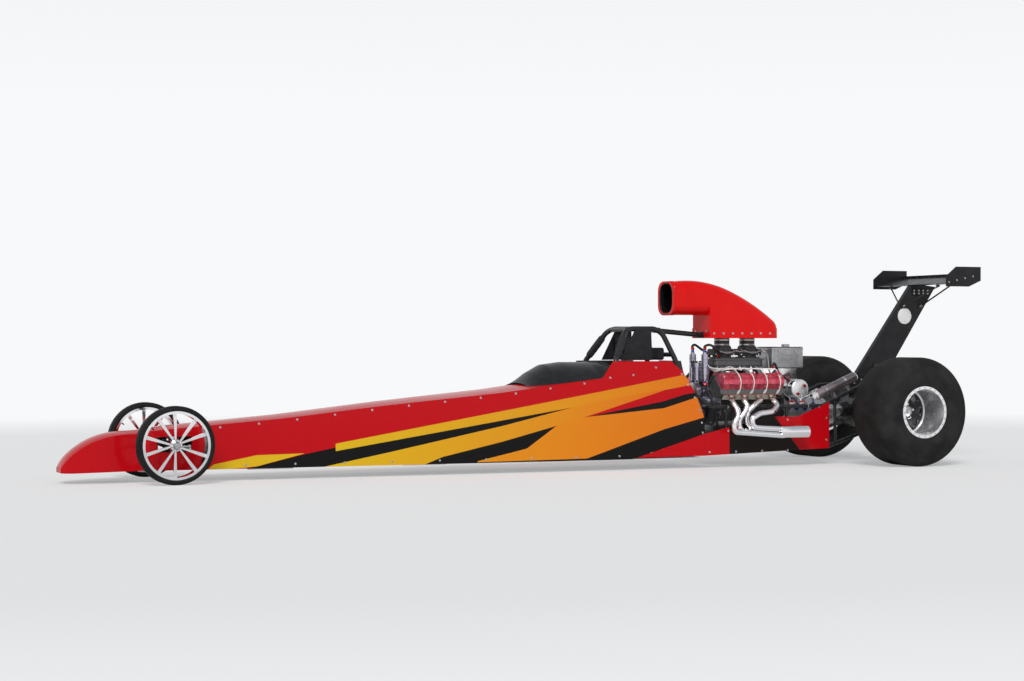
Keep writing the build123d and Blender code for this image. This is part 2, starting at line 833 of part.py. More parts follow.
def pulley_drive():
    face_x = engine_front_x + seat_gap + plate_thickness + seat_gap
    pieces = []
    for y, z, steps in drive_wheels:
        for radius, start, end in steps:
            pieces.append(rod((face_x + start, y, z), (face_x + end, y, z), 2 * radius))
    loops = []
    for depth in (belt_thickness, -0.1):
        low = Pos(0, crank_z) * Circle(crank_belt_radius + depth)
        high = Pos(0, upper_wheel_z) * Circle(upper_belt_radius + depth)
        hull = Plane.YZ.offset(face_x + belt_start) * make_hull(low.edges() + high.edges())
        loops.append(extrude(hull, amount=belt_width))
    pieces.append(loops[0] - loops[1])
    # An upright canister and its arm on each side, and the magneto between them
    for side in (1, -1):
        arm = ((side * 30.0, 560.0), (side * 85.0, 560.0), (side * 125.0, 780.0), (side * 75.0, 780.0))
        pieces.append(end_prism(arm, face_x, face_x + 10.0))
        place = Pos(face_x + canister_radius + 4.0, side * canister_y, 0)
        pieces.append(place * Pos(0, 0, 800.0) * Cylinder(canister_radius, 200.0))
        pieces.append(place * Pos(0, 0, 800.0) * Cylinder(canister_radius * 0.6, 230.0))
    pieces.append(Pos(face_x + 52.0, 0, 745.0) * Cylinder(44.0, 110.0))
    pieces.append(Pos(face_x + 52.0, 0, 812.0) * Cylinder(56.0, 36.0))
    pieces.append(Pos(face_x + 30.0, 0, 705.0) * Box(60.0, 130.0, 16.0))
    return fused(pieces)


bellhousing_length = 125.0
gearbox_length = 410.0


def bellhousing():
    front_x = engine_rear_x - plate_thickness - 2 * seat_gap
    rear_x = front_x - bellhousing_length
    wide = Plane.YZ.offset(front_x) * Pos(0, crank_z) * Circle(205.0)
    narrow = Plane.YZ.offset(rear_x) * Pos(0, crank_z) * Circle(112.0)
    return loft([narrow, wide], ruled=True)


def gearbox():
    front_x = engine_rear_x - plate_thickness - 3 * seat_gap - bellhousing_length
    rear_x = front_x - gearbox_length
    case = rod((front_x, 0, crank_z), (rear_x, 0, crank_z), 2 * gearbox_radius)
    coupler = rod((rear_x, 0, crank_z), (snout_front_x + seat_gap, 0, crank_z), 90.0)
    sump = Pos((front_x + rear_x) / 2, 0, crank_z - 90.0) * Box(gearbox_length - 60.0, 170.0, 60.0)
    pieces = [case, coupler, sump]
    for share in (0.3, 0.5, 0.7, 0.9):
        x = front_x - share * gearbox_length
        pieces.append(rod((x, 0, crank_z), (x - 12.0, 0, crank_z), 2 * gearbox_radius + 12.0))
    return fused(pieces)


tank_x = 706.0
box_low_z = 785.0
box_high_z = 955.0
tank_radius = 82.0
gearbox_radius = 100.0
tank_z = crank_z + gearbox_radius + seat_gap + tank_radius


def catch_tank():
    tank = rod((tank_x, -200.0, tank_z), (tank_x, 200.0, tank_z), 2 * tank_radius)
    box = Pos(775.0, 0, (box_low_z + box_high_z) / 2) * Box(300.0, 250.0, box_high_z - box_low_z)
    legs = Pos(tank_x, 0, (tank_z + box_low_z) / 2) * Box(60.0, 200.0, box_low_z - tank_z)
    return fused([tank, fillet(box.edges(), 12.0), legs])


bottle_radius = 40.0


def air_bottle():
    start = (616.0, rail_y, 565.0)
    end = (252.0, rail_y, 714.0)
    bottle = rod(start, end, 2 * bottle_radius)
    rail_start, rail_end = upper_rail[6], upper_rail[7]
    lean = atan2(rail_end[2] - rail_start[2], rail_start[0] - rail_end[0])
    feet = []
    for x in (300.0, 430.0):
        rail_z = rail_point(upper_rail, x)[2]
        reach = bottle_radius + rail_radius + 40.0
        top = (x + reach * sin(lean), rail_y, rail_z + reach * cos(lean))
        feet.append(rod((x, rail_y, rail_z), top, 26.0))
    rail = rod(rail_start, rail_end, rail_diameter + 2 * seat_gap)
    return fused([bottle] + feet) - rail


def axle_housing():
    bore = axle_radius + pin_clearance
    profile = (
        (bore, -housing_end_y),
        (housing_tube_radius, -housing_end_y),
        (housing_tube_radius, -170.0),
        (housing_centre_radius, -110.0),
        (housing_centre_radius, 110.0),
        (housing_tube_radius, 170.0),
        (housing_tube_radius, housing_end_y),
        (bore, housing_end_y),
    )
    whole = turned(profile, 0, rear_axle_z)
    snout = rod((60.0, 0, crank_z), (snout_front_x, 0, crank_z), 150.0)
    bracket_outline = (
        (-120.0, 330.0), (30.0, 285.0), (60.0, 330.0), (60.0, 600.0), (30.0, 660.0), (-120.0, 600.0)
    )
    inner = rail_y - rail_radius - seat_gap - bracket_thickness
    bracket = side_prism(bracket_outline, inner, inner + bracket_thickness)
    shaft = rod((0, -disc_y, rear_axle_z), (0, disc_y, rear_axle_z), 2 * bore)
    saddle = Pos(-10.0, 0, saddle_top_z - 30.0) * Box(280.0, 70.0, 60.0)
    tie_down = rod((-90.0, -400.0, 365.0), (-90.0, 400.0, 365.0), 2 * tie_down_radius)
    return fused([whole, snout, bracket, mirrored(bracket), saddle]) - shaft - tie_down


def brake_calipers():
    inner = disc_y - disc_thickness / 2 - running_gap
    outer = disc_y + disc_thickness / 2 + running_gap
    reach = disc_radius + running_gap
    grip = Pos(-disc_radius + 10.0, disc_y, rear_axle_z) * Box(110.0, 90.0, 120.0)
    slot = turned(((0, inner), (reach, inner), (reach, outer), (0, outer)), 0, rear_axle_z)
    low = housing_end_y - 12.0
    ring = turned(((0, low), (60.0, low), (60.0, housing_end_y), (0, housing_end_y)), 0, rear_axle_z)
    arm = Pos(-65.0, housing_end_y - 6.0, rear_axle_z) * Box(100.0, 12.0, 60.0)
    bore_radius = housing_tube_radius + seat_gap
    bore = turned(((0, 0), (bore_radius, 0), (bore_radius, 600.0), (0, 600.0)), 0, rear_axle_z)
    left = fused([grip - slot, ring, arm]) - bore
    return [left, mirrored(left)]


# Rear wing: the pylon leans back from the axle housing
pylon_base_z = saddle_top_z + seat_gap
pylon_thickness = 44.0


def wing_line(share, above=0.0):
    """A point along the wing's chord, and above it."""
    lean = radians(wing_angle)
    x = -500.0 - share * wing_chord * cos(lean) + above * sin(lean)
    z = wing_z + share * wing_chord * sin(lean) + above * cos(lean)
    return (x, z)


def wing_plane():
    lower = ThreePointArc(wing_line(0), wing_line(0.35, -wing_thickness * 0.8), wing_line(1))
    upper = ThreePointArc(wing_line(1), wing_line(0.4, wing_thickness * 0.2), wing_line(0))
    half = wing_span / 2 - end_plate_thickness - seat_gap
    return extrude(Plane.XZ.offset(-half) * make_face([lower, upper]), amount=2 * half)


def wing_end_plate():
    rear = -tail_overhang
    outline = (
        (rear + 350.0, wing_z - 25.0),
        (rear + 350.0, wing_z + 60.0),
        (rear + 250.0, wing_z - 25.0 + end_plate_height),
        (rear, wing_z - 25.0 + end_plate_height),
        (rear, wing_z + 25.0),
        (rear + 120.0, wing_z - 25.0),
    )
    return side_prism(outline, wing_span / 2 - end_plate_thickness, wing_span / 2)


def wing_strut():
    outline = ((117.0, pylon_base_z), (-520.0, 1500.0), (-757.0, 1470.0), (-198.0, pylon_base_z))
    blade = side_prism(outline, -pylon_thickness / 2, pylon_thickness / 2)
    lower = ThreePointArc(wing_line(0), wing_line(0.35, -wing_thickness * 0.8), wing_line(1))
    sky = Polyline(wing_line(1), (wing_line(1)[0] - 100.0, 2000.0), (0.0, 2000.0), wing_line(0))
    above = extrude(Plane.XZ.offset(-100.0) * make_face([lower, sky]), amount=200.0)
    return blade - Pos(0, 0, -seat_gap) * above


def parachute_pack():
    pack = Pos(-560.0, 0, 470.0) * Box(300.0, 230.0, 220.0)
    pack = fillet(pack.edges(), 25.0)
    arm = rod((-420.0, 0, rear_axle_z), (-housing_centre_radius - seat_gap, 0, rear_axle_z), 50.0)
    return fused([pack, arm])


# Front axle: a tube with a forked end at each kingpin
fork_half_height = 34.0
fork_plate = 12.0
fork_width = 40.0
barrel_radius = 20.0


def front_axle():
    clear = barrel_radius + running_gap
    beam_end = kingpin_y - clear
    beam = rod((front_axle_x, -beam_end, front_axle_z), (front_axle_x, beam_end, front_axle_z), 50.0)
    pieces = [beam]
    for side in (1, -1):
        pin = Pos(front_axle_x, side * kingpin_y, front_axle_z) * Cylinder(
            kingpin_radius, 2 * (fork_half_height + fork_plate)
        )
        pieces.append(pin)
        for level in (1, -1):
            lug_z = front_axle_z + level * (fork_half_height + fork_plate / 2)
            pieces.append(Pos(front_axle_x, side * kingpin_y, lug_z) * Cylinder(barrel_radius, fork_plate))
            arm = Box(fork_width, 60.0, fork_plate)
            pieces.append(Pos(front_axle_x, side * (kingpin_y - 30.0), lug_z) * arm)
        pieces.append(
            Pos(front_axle_x, side * (beam_end - 12.0), front_axle_z)
            * Box(fork_width, 24.0, 2 * (fork_half_height + fork_plate))
        )
        low = rail_point(lower_rail, front_axle_x)
        high = rail_point(upper_rail, front_axle_x)
        place = Pos(front_axle_x, side * low[1], (low[2] + high[2]) / 2)
        pieces.append(place * Box(24.0, 14.0, high[2] - low[2]))
    whole = fused(pieces)
    for rail in (lower_rail, upper_rail):
        left = rod(rail[0], rail[1], rail_diameter + 2 * seat_gap)
        whole = whole - left - mirrored(left)
    return whole


tie_rod_x = front_axle_x - arm_length
tie_rod_y = kingpin_y
arm_z = front_axle_z - 12.0
arm_thickness = 10.0
tie_pin_radius = 5.0
front_hub_y = front_track / 2


def knuckle():
    barrel = Pos(front_axle_x, kingpin_y, front_axle_z) * Cylinder(
        barrel_radius, 2 * (fork_half_height - 1.0)
    )
    spindle = rod(
        (front_axle_x, kingpin_y + 12.0, front_axle_z),
        (front_axle_x, front_hub_y + 44.0, front_axle_z),
        2 * spindle_radius,
    )
    arm = Pos(front_axle_x - arm_length / 2, kingpin_y, arm_z) * Box(arm_length, 22.0, arm_thickness)
    eye = Pos(tie_rod_x, tie_rod_y, arm_z) * Cylinder(12.0, arm_thickness)
    pin = Pos(tie_rod_x, tie_rod_y, arm_z - 14.0) * Cylinder(tie_pin_radius, 28.0)
    whole = fused([barrel, spindle, arm, eye, pin])
    bore = Pos(front_axle_x, kingpin_y, front_axle_z) * Cylinder(kingpin_radius + pin_clearance, 200.0)
    return whole - bore


def tie_rod():
    z = arm_z - arm_thickness / 2 - 12.0
    bar = rod((tie_rod_x, -tie_rod_y, z), (tie_rod_x, tie_rod_y, z), 20.0)
    pieces = [bar]
    for side in (1, -1):
        pieces.append(Pos(tie_rod_x, side * tie_rod_y, z) * Cylinder(13.0, 14.0))
    whole = fused(pieces)
    left = Pos(tie_rod_x, tie_rod_y, z) * Cylinder(tie_pin_radius + pin_clearance, 100.0)
    right = Pos(tie_rod_x, -tie_rod_y, z) * Cylinder(tie_pin_radius + 1.5, 100.0)
    return whole - left - right


# Front wheel: turned rim and hub joined by split pairs of tapered spokes
spoke_pairs = 5
spoke_root_radius = 34.0
spoke_root_angle = 9.0
spoke_tip_angle = 16.0
spoke_root_width = 12.0
spoke_tip_width = 26.0
spoke_depth = (6.0, 24.0)
front_hub_radius = 42.0


def spoke(angle, split):
    """A flat bar that widens from the hub to the rim, turned off its pair's middle line."""
    root_angle = radians(angle + split * spoke_root_angle)
    tip_angle = radians(angle + split * spoke_tip_angle)
    tip_radius = front_rim_radius - rim_wall / 2
    root = Vector(spoke_root_radius * cos(root_angle), spoke_root_radius * sin(root_angle))
    tip = Vector(tip_radius * cos(tip_angle), tip_radius * sin(tip_angle))
    run = (tip - root).normalized()
    across = Vector(-run.Y, run.X)
    corners = [
        root + across * (spoke_root_width / 2),
        tip + across * (spoke_tip_width / 2),
        tip - across * (spoke_tip_width / 2),
        root - across * (spoke_root_width / 2),
    ]
    return side_prism([(corner.X, corner.Y) for corner in corners], *spoke_depth)


def front_wheel():
    half = front_tyre_width / 2
    lip = front_rim_radius + front_lip_height
    inner = front_rim_radius - rim_wall
    rim = turned(
        (
            (front_rim_radius, -half + 8.0),
            (lip, -half + 8.0),
            (lip, -half + 2.0),
            (inner, -half + 2.0),
            (inner, half - 2.0),
            (lip, half - 2.0),
            (lip, half - 8.0),
            (front_rim_radius, half - 8.0),
        ),
        0,
        0,
    )
    hub_profile = (
        (0, -20.0), (front_hub_radius - 6.0, -20.0), (front_hub_radius, -8.0), (front_hub_radius, 26.0),
        (front_hub_radius - 12.0, 32.0), (front_hub_radius - 16.0, 42.0), (0, 42.0),
    )
    pieces = [rim, turned(hub_profile, 0, 0)]
    for pair in range(spoke_pairs):
        for split in (-1, 1):
            pieces.append(spoke(pair * 360.0 / spoke_pairs, split))
    bore_radius = spindle_radius + pin_clearance
    bore = turned(((0, -60.0), (bore_radius, -60.0), (bore_radius, 60.0), (0, 60.0)), 0, 0)
    return fused(pieces) - bore


def tyre_form(radius, width, bead_radius, bead_width, lip_height, shoulder, tread_half):
    """A tyre's outer form, turned: straight past the rim's lip, then round the shoulders."""
    half = width / 2
    bead_half = bead_width / 2
    lip = bead_radius + lip_height
    waist = (lip + radius) / 2
    right = [
        Line((bead_radius, bead_half), (lip, bead_half)),
        ThreePointArc((lip, bead_half), (waist, half), (radius - shoulder, tread_half + shoulder)),
        ThreePointArc(
            (radius - shoulder, tread_half + shoulder),
            (radius - shoulder * 0.3, tread_half + shoulder * 0.7),
            (radius, tread_half),
        ),
    ]
    left = [
        ThreePointArc(
            (radius, -tread_half),
            (radius - shoulder * 0.3, -tread_half - shoulder * 0.7),
            (radius - shoulder, -tread_half - shoulder),
        ),
        ThreePointArc((radius - shoulder, -tread_half - shoulder), (waist, -half), (lip, -bead_half)),
        Line((lip, -bead_half), (bead_radius, -bead_half)),
    ]
    tread = Line((radius, tread_half), (radius, -tread_half))
    inner = Line((bead_radius, -bead_half), (bead_radius, bead_half))
    return revolve(make_face(right + [tread] + left + [inner]), Axis.Y)


def tyre(radius, width, bead_radius, bead_width, lip_height, shoulder, tread_half, wall):
    """A hollow tyre, open to its rim."""
    outer = tyre_form(radius, width, bead_radius + seat_gap, bead_width, lip_height, shoulder, tread_half)
    hollow = tyre_form(
        radius - wall,
        width - 2 * wall,
        bead_radius - wall,
        bead_width - 2 * wall,
        lip_height + 2 * wall,
        shoulder,
        tread_half - wall,
    )
    return outer - hollow


rear_windows = 8
window_ring = 128.0
window_radius = 27.0


def rear_wheel():
    half = rear_rim_width / 2
    lip = rear_rim_radius + rear_lip_height
    inner = rear_rim_radius - rim_wall
    disc_inner = hub_y - rear_track / 2 + seat_gap
    rim = turned(
        (
            (rear_rim_radius, -half + 10.0),
            (lip, -half + 10.0),
            (lip, -half),
            (inner, -half),
            (inner, half),
            (lip, half),
            (lip, half - 10.0),
            (rear_rim_radius, half - 10.0),
        ),
        0,
        0,
    )
    disc = turned(
        (
            (0, disc_inner),
            (inner + 1.0, disc_inner),
            (inner + 1.0, disc_inner + 14.0),
            (74.0, disc_inner + 14.0),
            (64.0, disc_inner + 26.0),
            (52.0, disc_inner + 26.0),
            (46.0, disc_inner + 46.0),
            (0, disc_inner + 46.0),
        ),
        0,
        0,
    )
    whole = rim + disc
    for step in range(rear_windows):
        angle = radians(step * 360.0 / rear_windows)
        place = Pos(window_ring * cos(angle), 0, window_ring * sin(angle))
        whole = whole - place * Rot(90, 0, 0) * Cylinder(window_radius, 2 * rear_rim_width)
    return whole


def rear_axle():
    shaft = rod((0, -hub_y, rear_axle_z), (0, hub_y, rear_axle_z), 2 * axle_radius)
    pieces = [shaft]
    for side in (1, -1):
        for radius, low, high in (
            (hub_flange_radius, hub_y - 12.0, hub_y),
            (disc_radius, disc_y - disc_thickness / 2, disc_y + disc_thickness / 2),
        ):
            profile = ((0, side * low), (radius, side * low), (radius, side * high), (0, side * high))
            pieces.append(turned(profile, 0, rear_axle_z))
    return fused(pieces)


os.makedirs("parts", exist_ok=True)

save("nose_cone", nose_cone())
save("hood_panel", hood_panel())
left_side = body_side()
save("body_side_left", left_side)
save("body_side_right", mirrored(left_side))
save("belly_pan", belly_pan())
save("rear_side_panels", rear_side_panel(), mirrored(rear_side_panel()))
save("cockpit_cowl", cockpit_cowl())
save("firewall", firewall())
save("roll_cage", roll_cage())
save("head_shroud", *head_shroud())
save("seat", seat())
save("steering_yoke", steering_yoke())
save("frame_rails", frame_rails())
save("engine_block", engine_block())
save("oil_pan", oil_pan())
save("cylinder_heads", *cylinder_heads())
save("valve_covers", *valve_covers())
save("intake_manifold", intake_manifold())
save("carburettors", *[carburettor(x) for x in carb_places])
save("air_scoop", air_scoop())
left_headers = headers()
save("headers_left", left_headers)
save("headers_right", mirrored(left_headers))
save("motor_plates", *motor_plates())
save("pulley_drive", pulley_drive())
save("bellhousing", bellhousing())
save("gearbox", gearbox())
save("catch_tank", catch_tank())
save("air_bottle", air_bottle())
save("axle_housing", axle_housing())
save("brake_calipers", *brake_calipers())
save("wing_plane", wing_plane())
save("wing_end_plates", wing_end_plate(), mirrored(wing_end_plate()))
save("wing_strut", wing_strut())
save("parachute_pack", parachute_pack())
save("front_axle", front_axle())
left_knuckle = knuckle()
save("knuckle_left", left_knuckle)
save("knuckle_right", mirrored(left_knuckle))
save("tie_rod", tie_rod())
left_wheel = Pos(front_axle_x, front_hub_y, front_axle_z) * front_wheel()
save("front_wheel_left", left_wheel)
save("front_wheel_right", mirrored(left_wheel))
front_tyre = tyre(
    front_tyre_radius,
    front_tyre_width,
    front_rim_radius,
    front_tyre_width - 2 * front_bead_inset,
    front_lip_height,
    front_shoulder,
    front_tread_half,
    front_tyre_wall,
)
left_tyre = Pos(front_axle_x, front_hub_y, front_axle_z) * front_tyre
save("front_tyre_left", left_tyre)
save("front_tyre_right", mirrored(left_tyre))
left_rear_wheel = Pos(0, rear_track / 2, rear_axle_z) * rear_wheel()
save("rear_wheels", left_rear_wheel, mirrored(left_rear_wheel))
slick = tyre(
    rear_tyre_radius,
    rear_tyre_width,
    rear_rim_radius,
    rear_rim_width - 2 * rear_bead_inset,
    rear_lip_height,
    rear_shoulder,
    rear_tread_half,
    rear_tyre_wall,
)
left_slick = Pos(0, rear_track / 2, rear_axle_z) * slick
save("rear_tyres", left_slick, mirrored(left_slick))
save("rear_axle", rear_axle())
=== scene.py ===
import math
import bpy
import numpy as np
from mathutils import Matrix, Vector
from mathutils.bvhtree import BVHTree


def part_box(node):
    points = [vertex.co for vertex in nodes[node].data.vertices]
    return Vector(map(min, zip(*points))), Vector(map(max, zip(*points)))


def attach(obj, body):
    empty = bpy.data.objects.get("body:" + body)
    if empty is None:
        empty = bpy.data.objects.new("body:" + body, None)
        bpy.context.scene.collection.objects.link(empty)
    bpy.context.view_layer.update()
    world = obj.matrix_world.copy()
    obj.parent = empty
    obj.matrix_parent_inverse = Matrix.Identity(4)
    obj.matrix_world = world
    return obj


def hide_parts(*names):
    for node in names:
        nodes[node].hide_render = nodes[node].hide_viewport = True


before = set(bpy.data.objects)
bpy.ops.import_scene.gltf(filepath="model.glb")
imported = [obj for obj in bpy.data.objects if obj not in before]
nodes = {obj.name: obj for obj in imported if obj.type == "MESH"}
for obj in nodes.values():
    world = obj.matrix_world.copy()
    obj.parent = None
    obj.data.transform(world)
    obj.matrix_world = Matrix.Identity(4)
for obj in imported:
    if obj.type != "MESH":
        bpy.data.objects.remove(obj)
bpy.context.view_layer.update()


def middle(node):
    low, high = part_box(node)
    return tuple((a + b) / 2 for a, b in zip(low, high))


rearAxle = middle("rear_axle")      # the places that the rest is measured from
frontAxle = middle("front_axle")
axleX = rearAxle[0]
print("frame loaded:", len(nodes), "nodes")


# camera and light

cameraSet = {"place": (axleX + 9.3415, 14.049, 1.0115), "lens": 69.38, "turn": -203.65}


def addObject(name, data):
    thing = bpy.data.objects.new(name, data)
    bpy.context.scene.collection.objects.link(thing)
    return thing


def placeCamera(values):
    camera = addObject("camera", bpy.data.cameras.new("camera"))
    camera.data.lens = values["lens"]
    camera.location = values["place"]
    camera.rotation_euler = (math.radians(90), 0, math.radians(values["turn"]))
    bpy.context.scene.camera = camera


lightSet = {
    "skyLow": (0.94, 0.945, 0.955),      # the background at the horizon, where a strength of 1 is white
    "skyHigh": (0.42, 0.44, 0.48),       # overhead, for the shading of metal
    "skyHeights": (0.12, 0.85),
    "skyStrength": 0.52,                 # what the sky gives to matt surfaces
    "sunFrom": (0.45, 0.80, 0.90),
    "sunStrength": 1.9,
    "sunAngle": 28.0,
    "floorColour": (0.90, 0.90, 0.89),
    "floorFade": (5.0, 12.0),            # metres from the middle over which the floor turns into the background
    "floorLift": 0.35,                   # how much of the background the camera sees in the floor near the car
    "floorReach": 90.0,
    "floorWeights": (0.8, 1, 0),         # the fade reaches further along the car than across it
}


def addSun(values):
    sun = addObject("sun", bpy.data.lights.new("sun", "SUN"))
    sun.data.energy = values["sunStrength"]
    sun.data.angle = math.radians(values["sunAngle"])
    x, y, z = values["sunFrom"]
    sun.rotation_euler = (math.atan2(math.hypot(x, y), z), 0, math.atan2(-x, y) + math.pi)


def startFinish(name):
    material = bpy.data.materials.new(name)
    material.use_nodes = True
    return material, material.node_tree, material.node_tree.nodes["Principled BSDF"]


def feed(tree, node, inputs):
    # each input gets its link or its plain value
    for key, value in inputs.items():
        if isinstance(value, bpy.types.NodeSocket):
            tree.links.new(value, node.inputs[key])
        else:
            node.inputs[key].default_value = value


def addNode(tree, kind, inputs=None, **settings):
    node = tree.nodes.new("ShaderNode" + kind)
    for key, value in settings.items():
        setattr(node, key, value)
    feed(tree, node, inputs or {})
    return node


def maths(tree, operation, *values):
    return addNode(tree, "Math", dict(enumerate(values)), operation=operation).outputs[0]


def product(tree, first, *others):
    for other in others:
        first = maths(tree, "MULTIPLY", first, other)
    return first


def vectors(tree, operation, *values):
    return addNode(tree, "VectorMath", dict(enumerate(values)), operation=operation).outputs


def rowPlace(tree):
    return addNode(tree, "TexCoord").outputs["Object"]


def axesOf(tree, vector):
    return addNode(tree, "SeparateXYZ", {0: vector}).outputs


def faceWay(tree):
    return axesOf(tree, addNode(tree, "NewGeometry").outputs["Normal"])


def lengthOf(tree, place, weights=(1, 0, 1)):
    # the length of a place with each axis weighted: these weights give the radius round a cross-car axis
    return vectors(tree, "LENGTH", vectors(tree, "MULTIPLY", place, weights)[0])["Value"]


def noise(tree, scale, detail=3.0, stretch=None):
    place = rowPlace(tree)
    if stretch:
        place = addNode(tree, "Mapping", {"Vector": place, "Scale": stretch}).outputs[0]
    return addNode(tree, "TexNoise", {"Vector": place, "Scale": scale, "Detail": detail}).outputs["Fac"]


def spread(tree, value, low, high, fromLow=0.3, fromHigh=0.7):
    inputs = {"Value": value, "From Min": fromLow, "From Max": fromHigh, "To Min": low, "To Max": high}
    return addNode(tree, "MapRange", inputs).outputs[0]


def past(tree, value, place, edge, before=0, after=1):
    # one number before a place and another after it, with a narrow slope between them
    return spread(tree, value, before, after, place - edge, place + edge)


def blendColours(tree, factor, first, second):
    node = addNode(tree, "Mix", data_type="RGBA")
    whole = [(*value, 1) if isinstance(value, tuple) else value for value in (factor, first, second)]
    feed(tree, node, dict(zip((0, 6, 7), whole)))      # the Mix node's sockets for colours
    return node.outputs[2]


def setSky(values):
    world = bpy.data.worlds.new("studio")
    bpy.context.scene.world = world
    world.use_nodes = True
    tree = world.node_tree
    rays = addNode(tree, "LightPath").outputs
    seen = rays["Is Camera Ray"]
    for kind in ("Is Transmission Ray", "Is Glossy Ray"):
        seen = maths(tree, "MAXIMUM", seen, rays[kind])
    height = axesOf(tree, addNode(tree, "TexCoord").outputs["Generated"])[2]
    up = spread(tree, height, 0, 1, *values["skyHeights"])
    feed(tree, tree.nodes["Background"], {
        "Strength": spread(tree, seen, values["skyStrength"], 1.0, 0, 1),
        "Color": blendColours(tree, up, values["skyLow"], values["skyHigh"])})


def makeFloor(values):
    size = values["floorReach"]
    mesh = bpy.data.meshes.new("floor")
    mesh.from_pydata([(-size, -size, 0), (size, -size, 0), (size, size, 0), (-size, size, 0)], [], [(0, 1, 2, 3)])
    material, tree, shader = startFinish("floor")
    feed(tree, shader, {"Base Color": (*values["floorColour"], 1), "Roughness": 0.9, "Specular IOR Level": 0.1})
    away = spread(tree, lengthOf(tree, rowPlace(tree), values["floorWeights"]), 0, 1, *values["floorFade"])
    lift = product(tree, addNode(tree, "LightPath").outputs["Is Camera Ray"], values["floorLift"])
    shine = addNode(tree, "Emission", {"Color": (*values["skyLow"], 1), "Strength": 1.0})
    share = maths(tree, "MAXIMUM", away, lift)
    mix = addNode(tree, "MixShader", {0: share, 1: shader.outputs[0], 2: shine.outputs[0]})
    feed(tree, tree.nodes["Material Output"], {"Surface": mix.outputs[0]})
    mesh.materials.append(material)
    floor = addObject("floor", mesh)


bpy.context.scene.view_settings.view_transform = "Standard"
placeCamera(cameraSet)
addSun(lightSet)
setSky(lightSet)
makeFloor(lightSet)
print("camera and light set")


# finishes

def bumpFrom(tree, shader, height, strength, distance):
    bump = addNode(tree, "Bump", {"Height": height, "Strength": strength, "Distance": distance})
    feed(tree, shader, {"Normal": bump.outputs[0]})


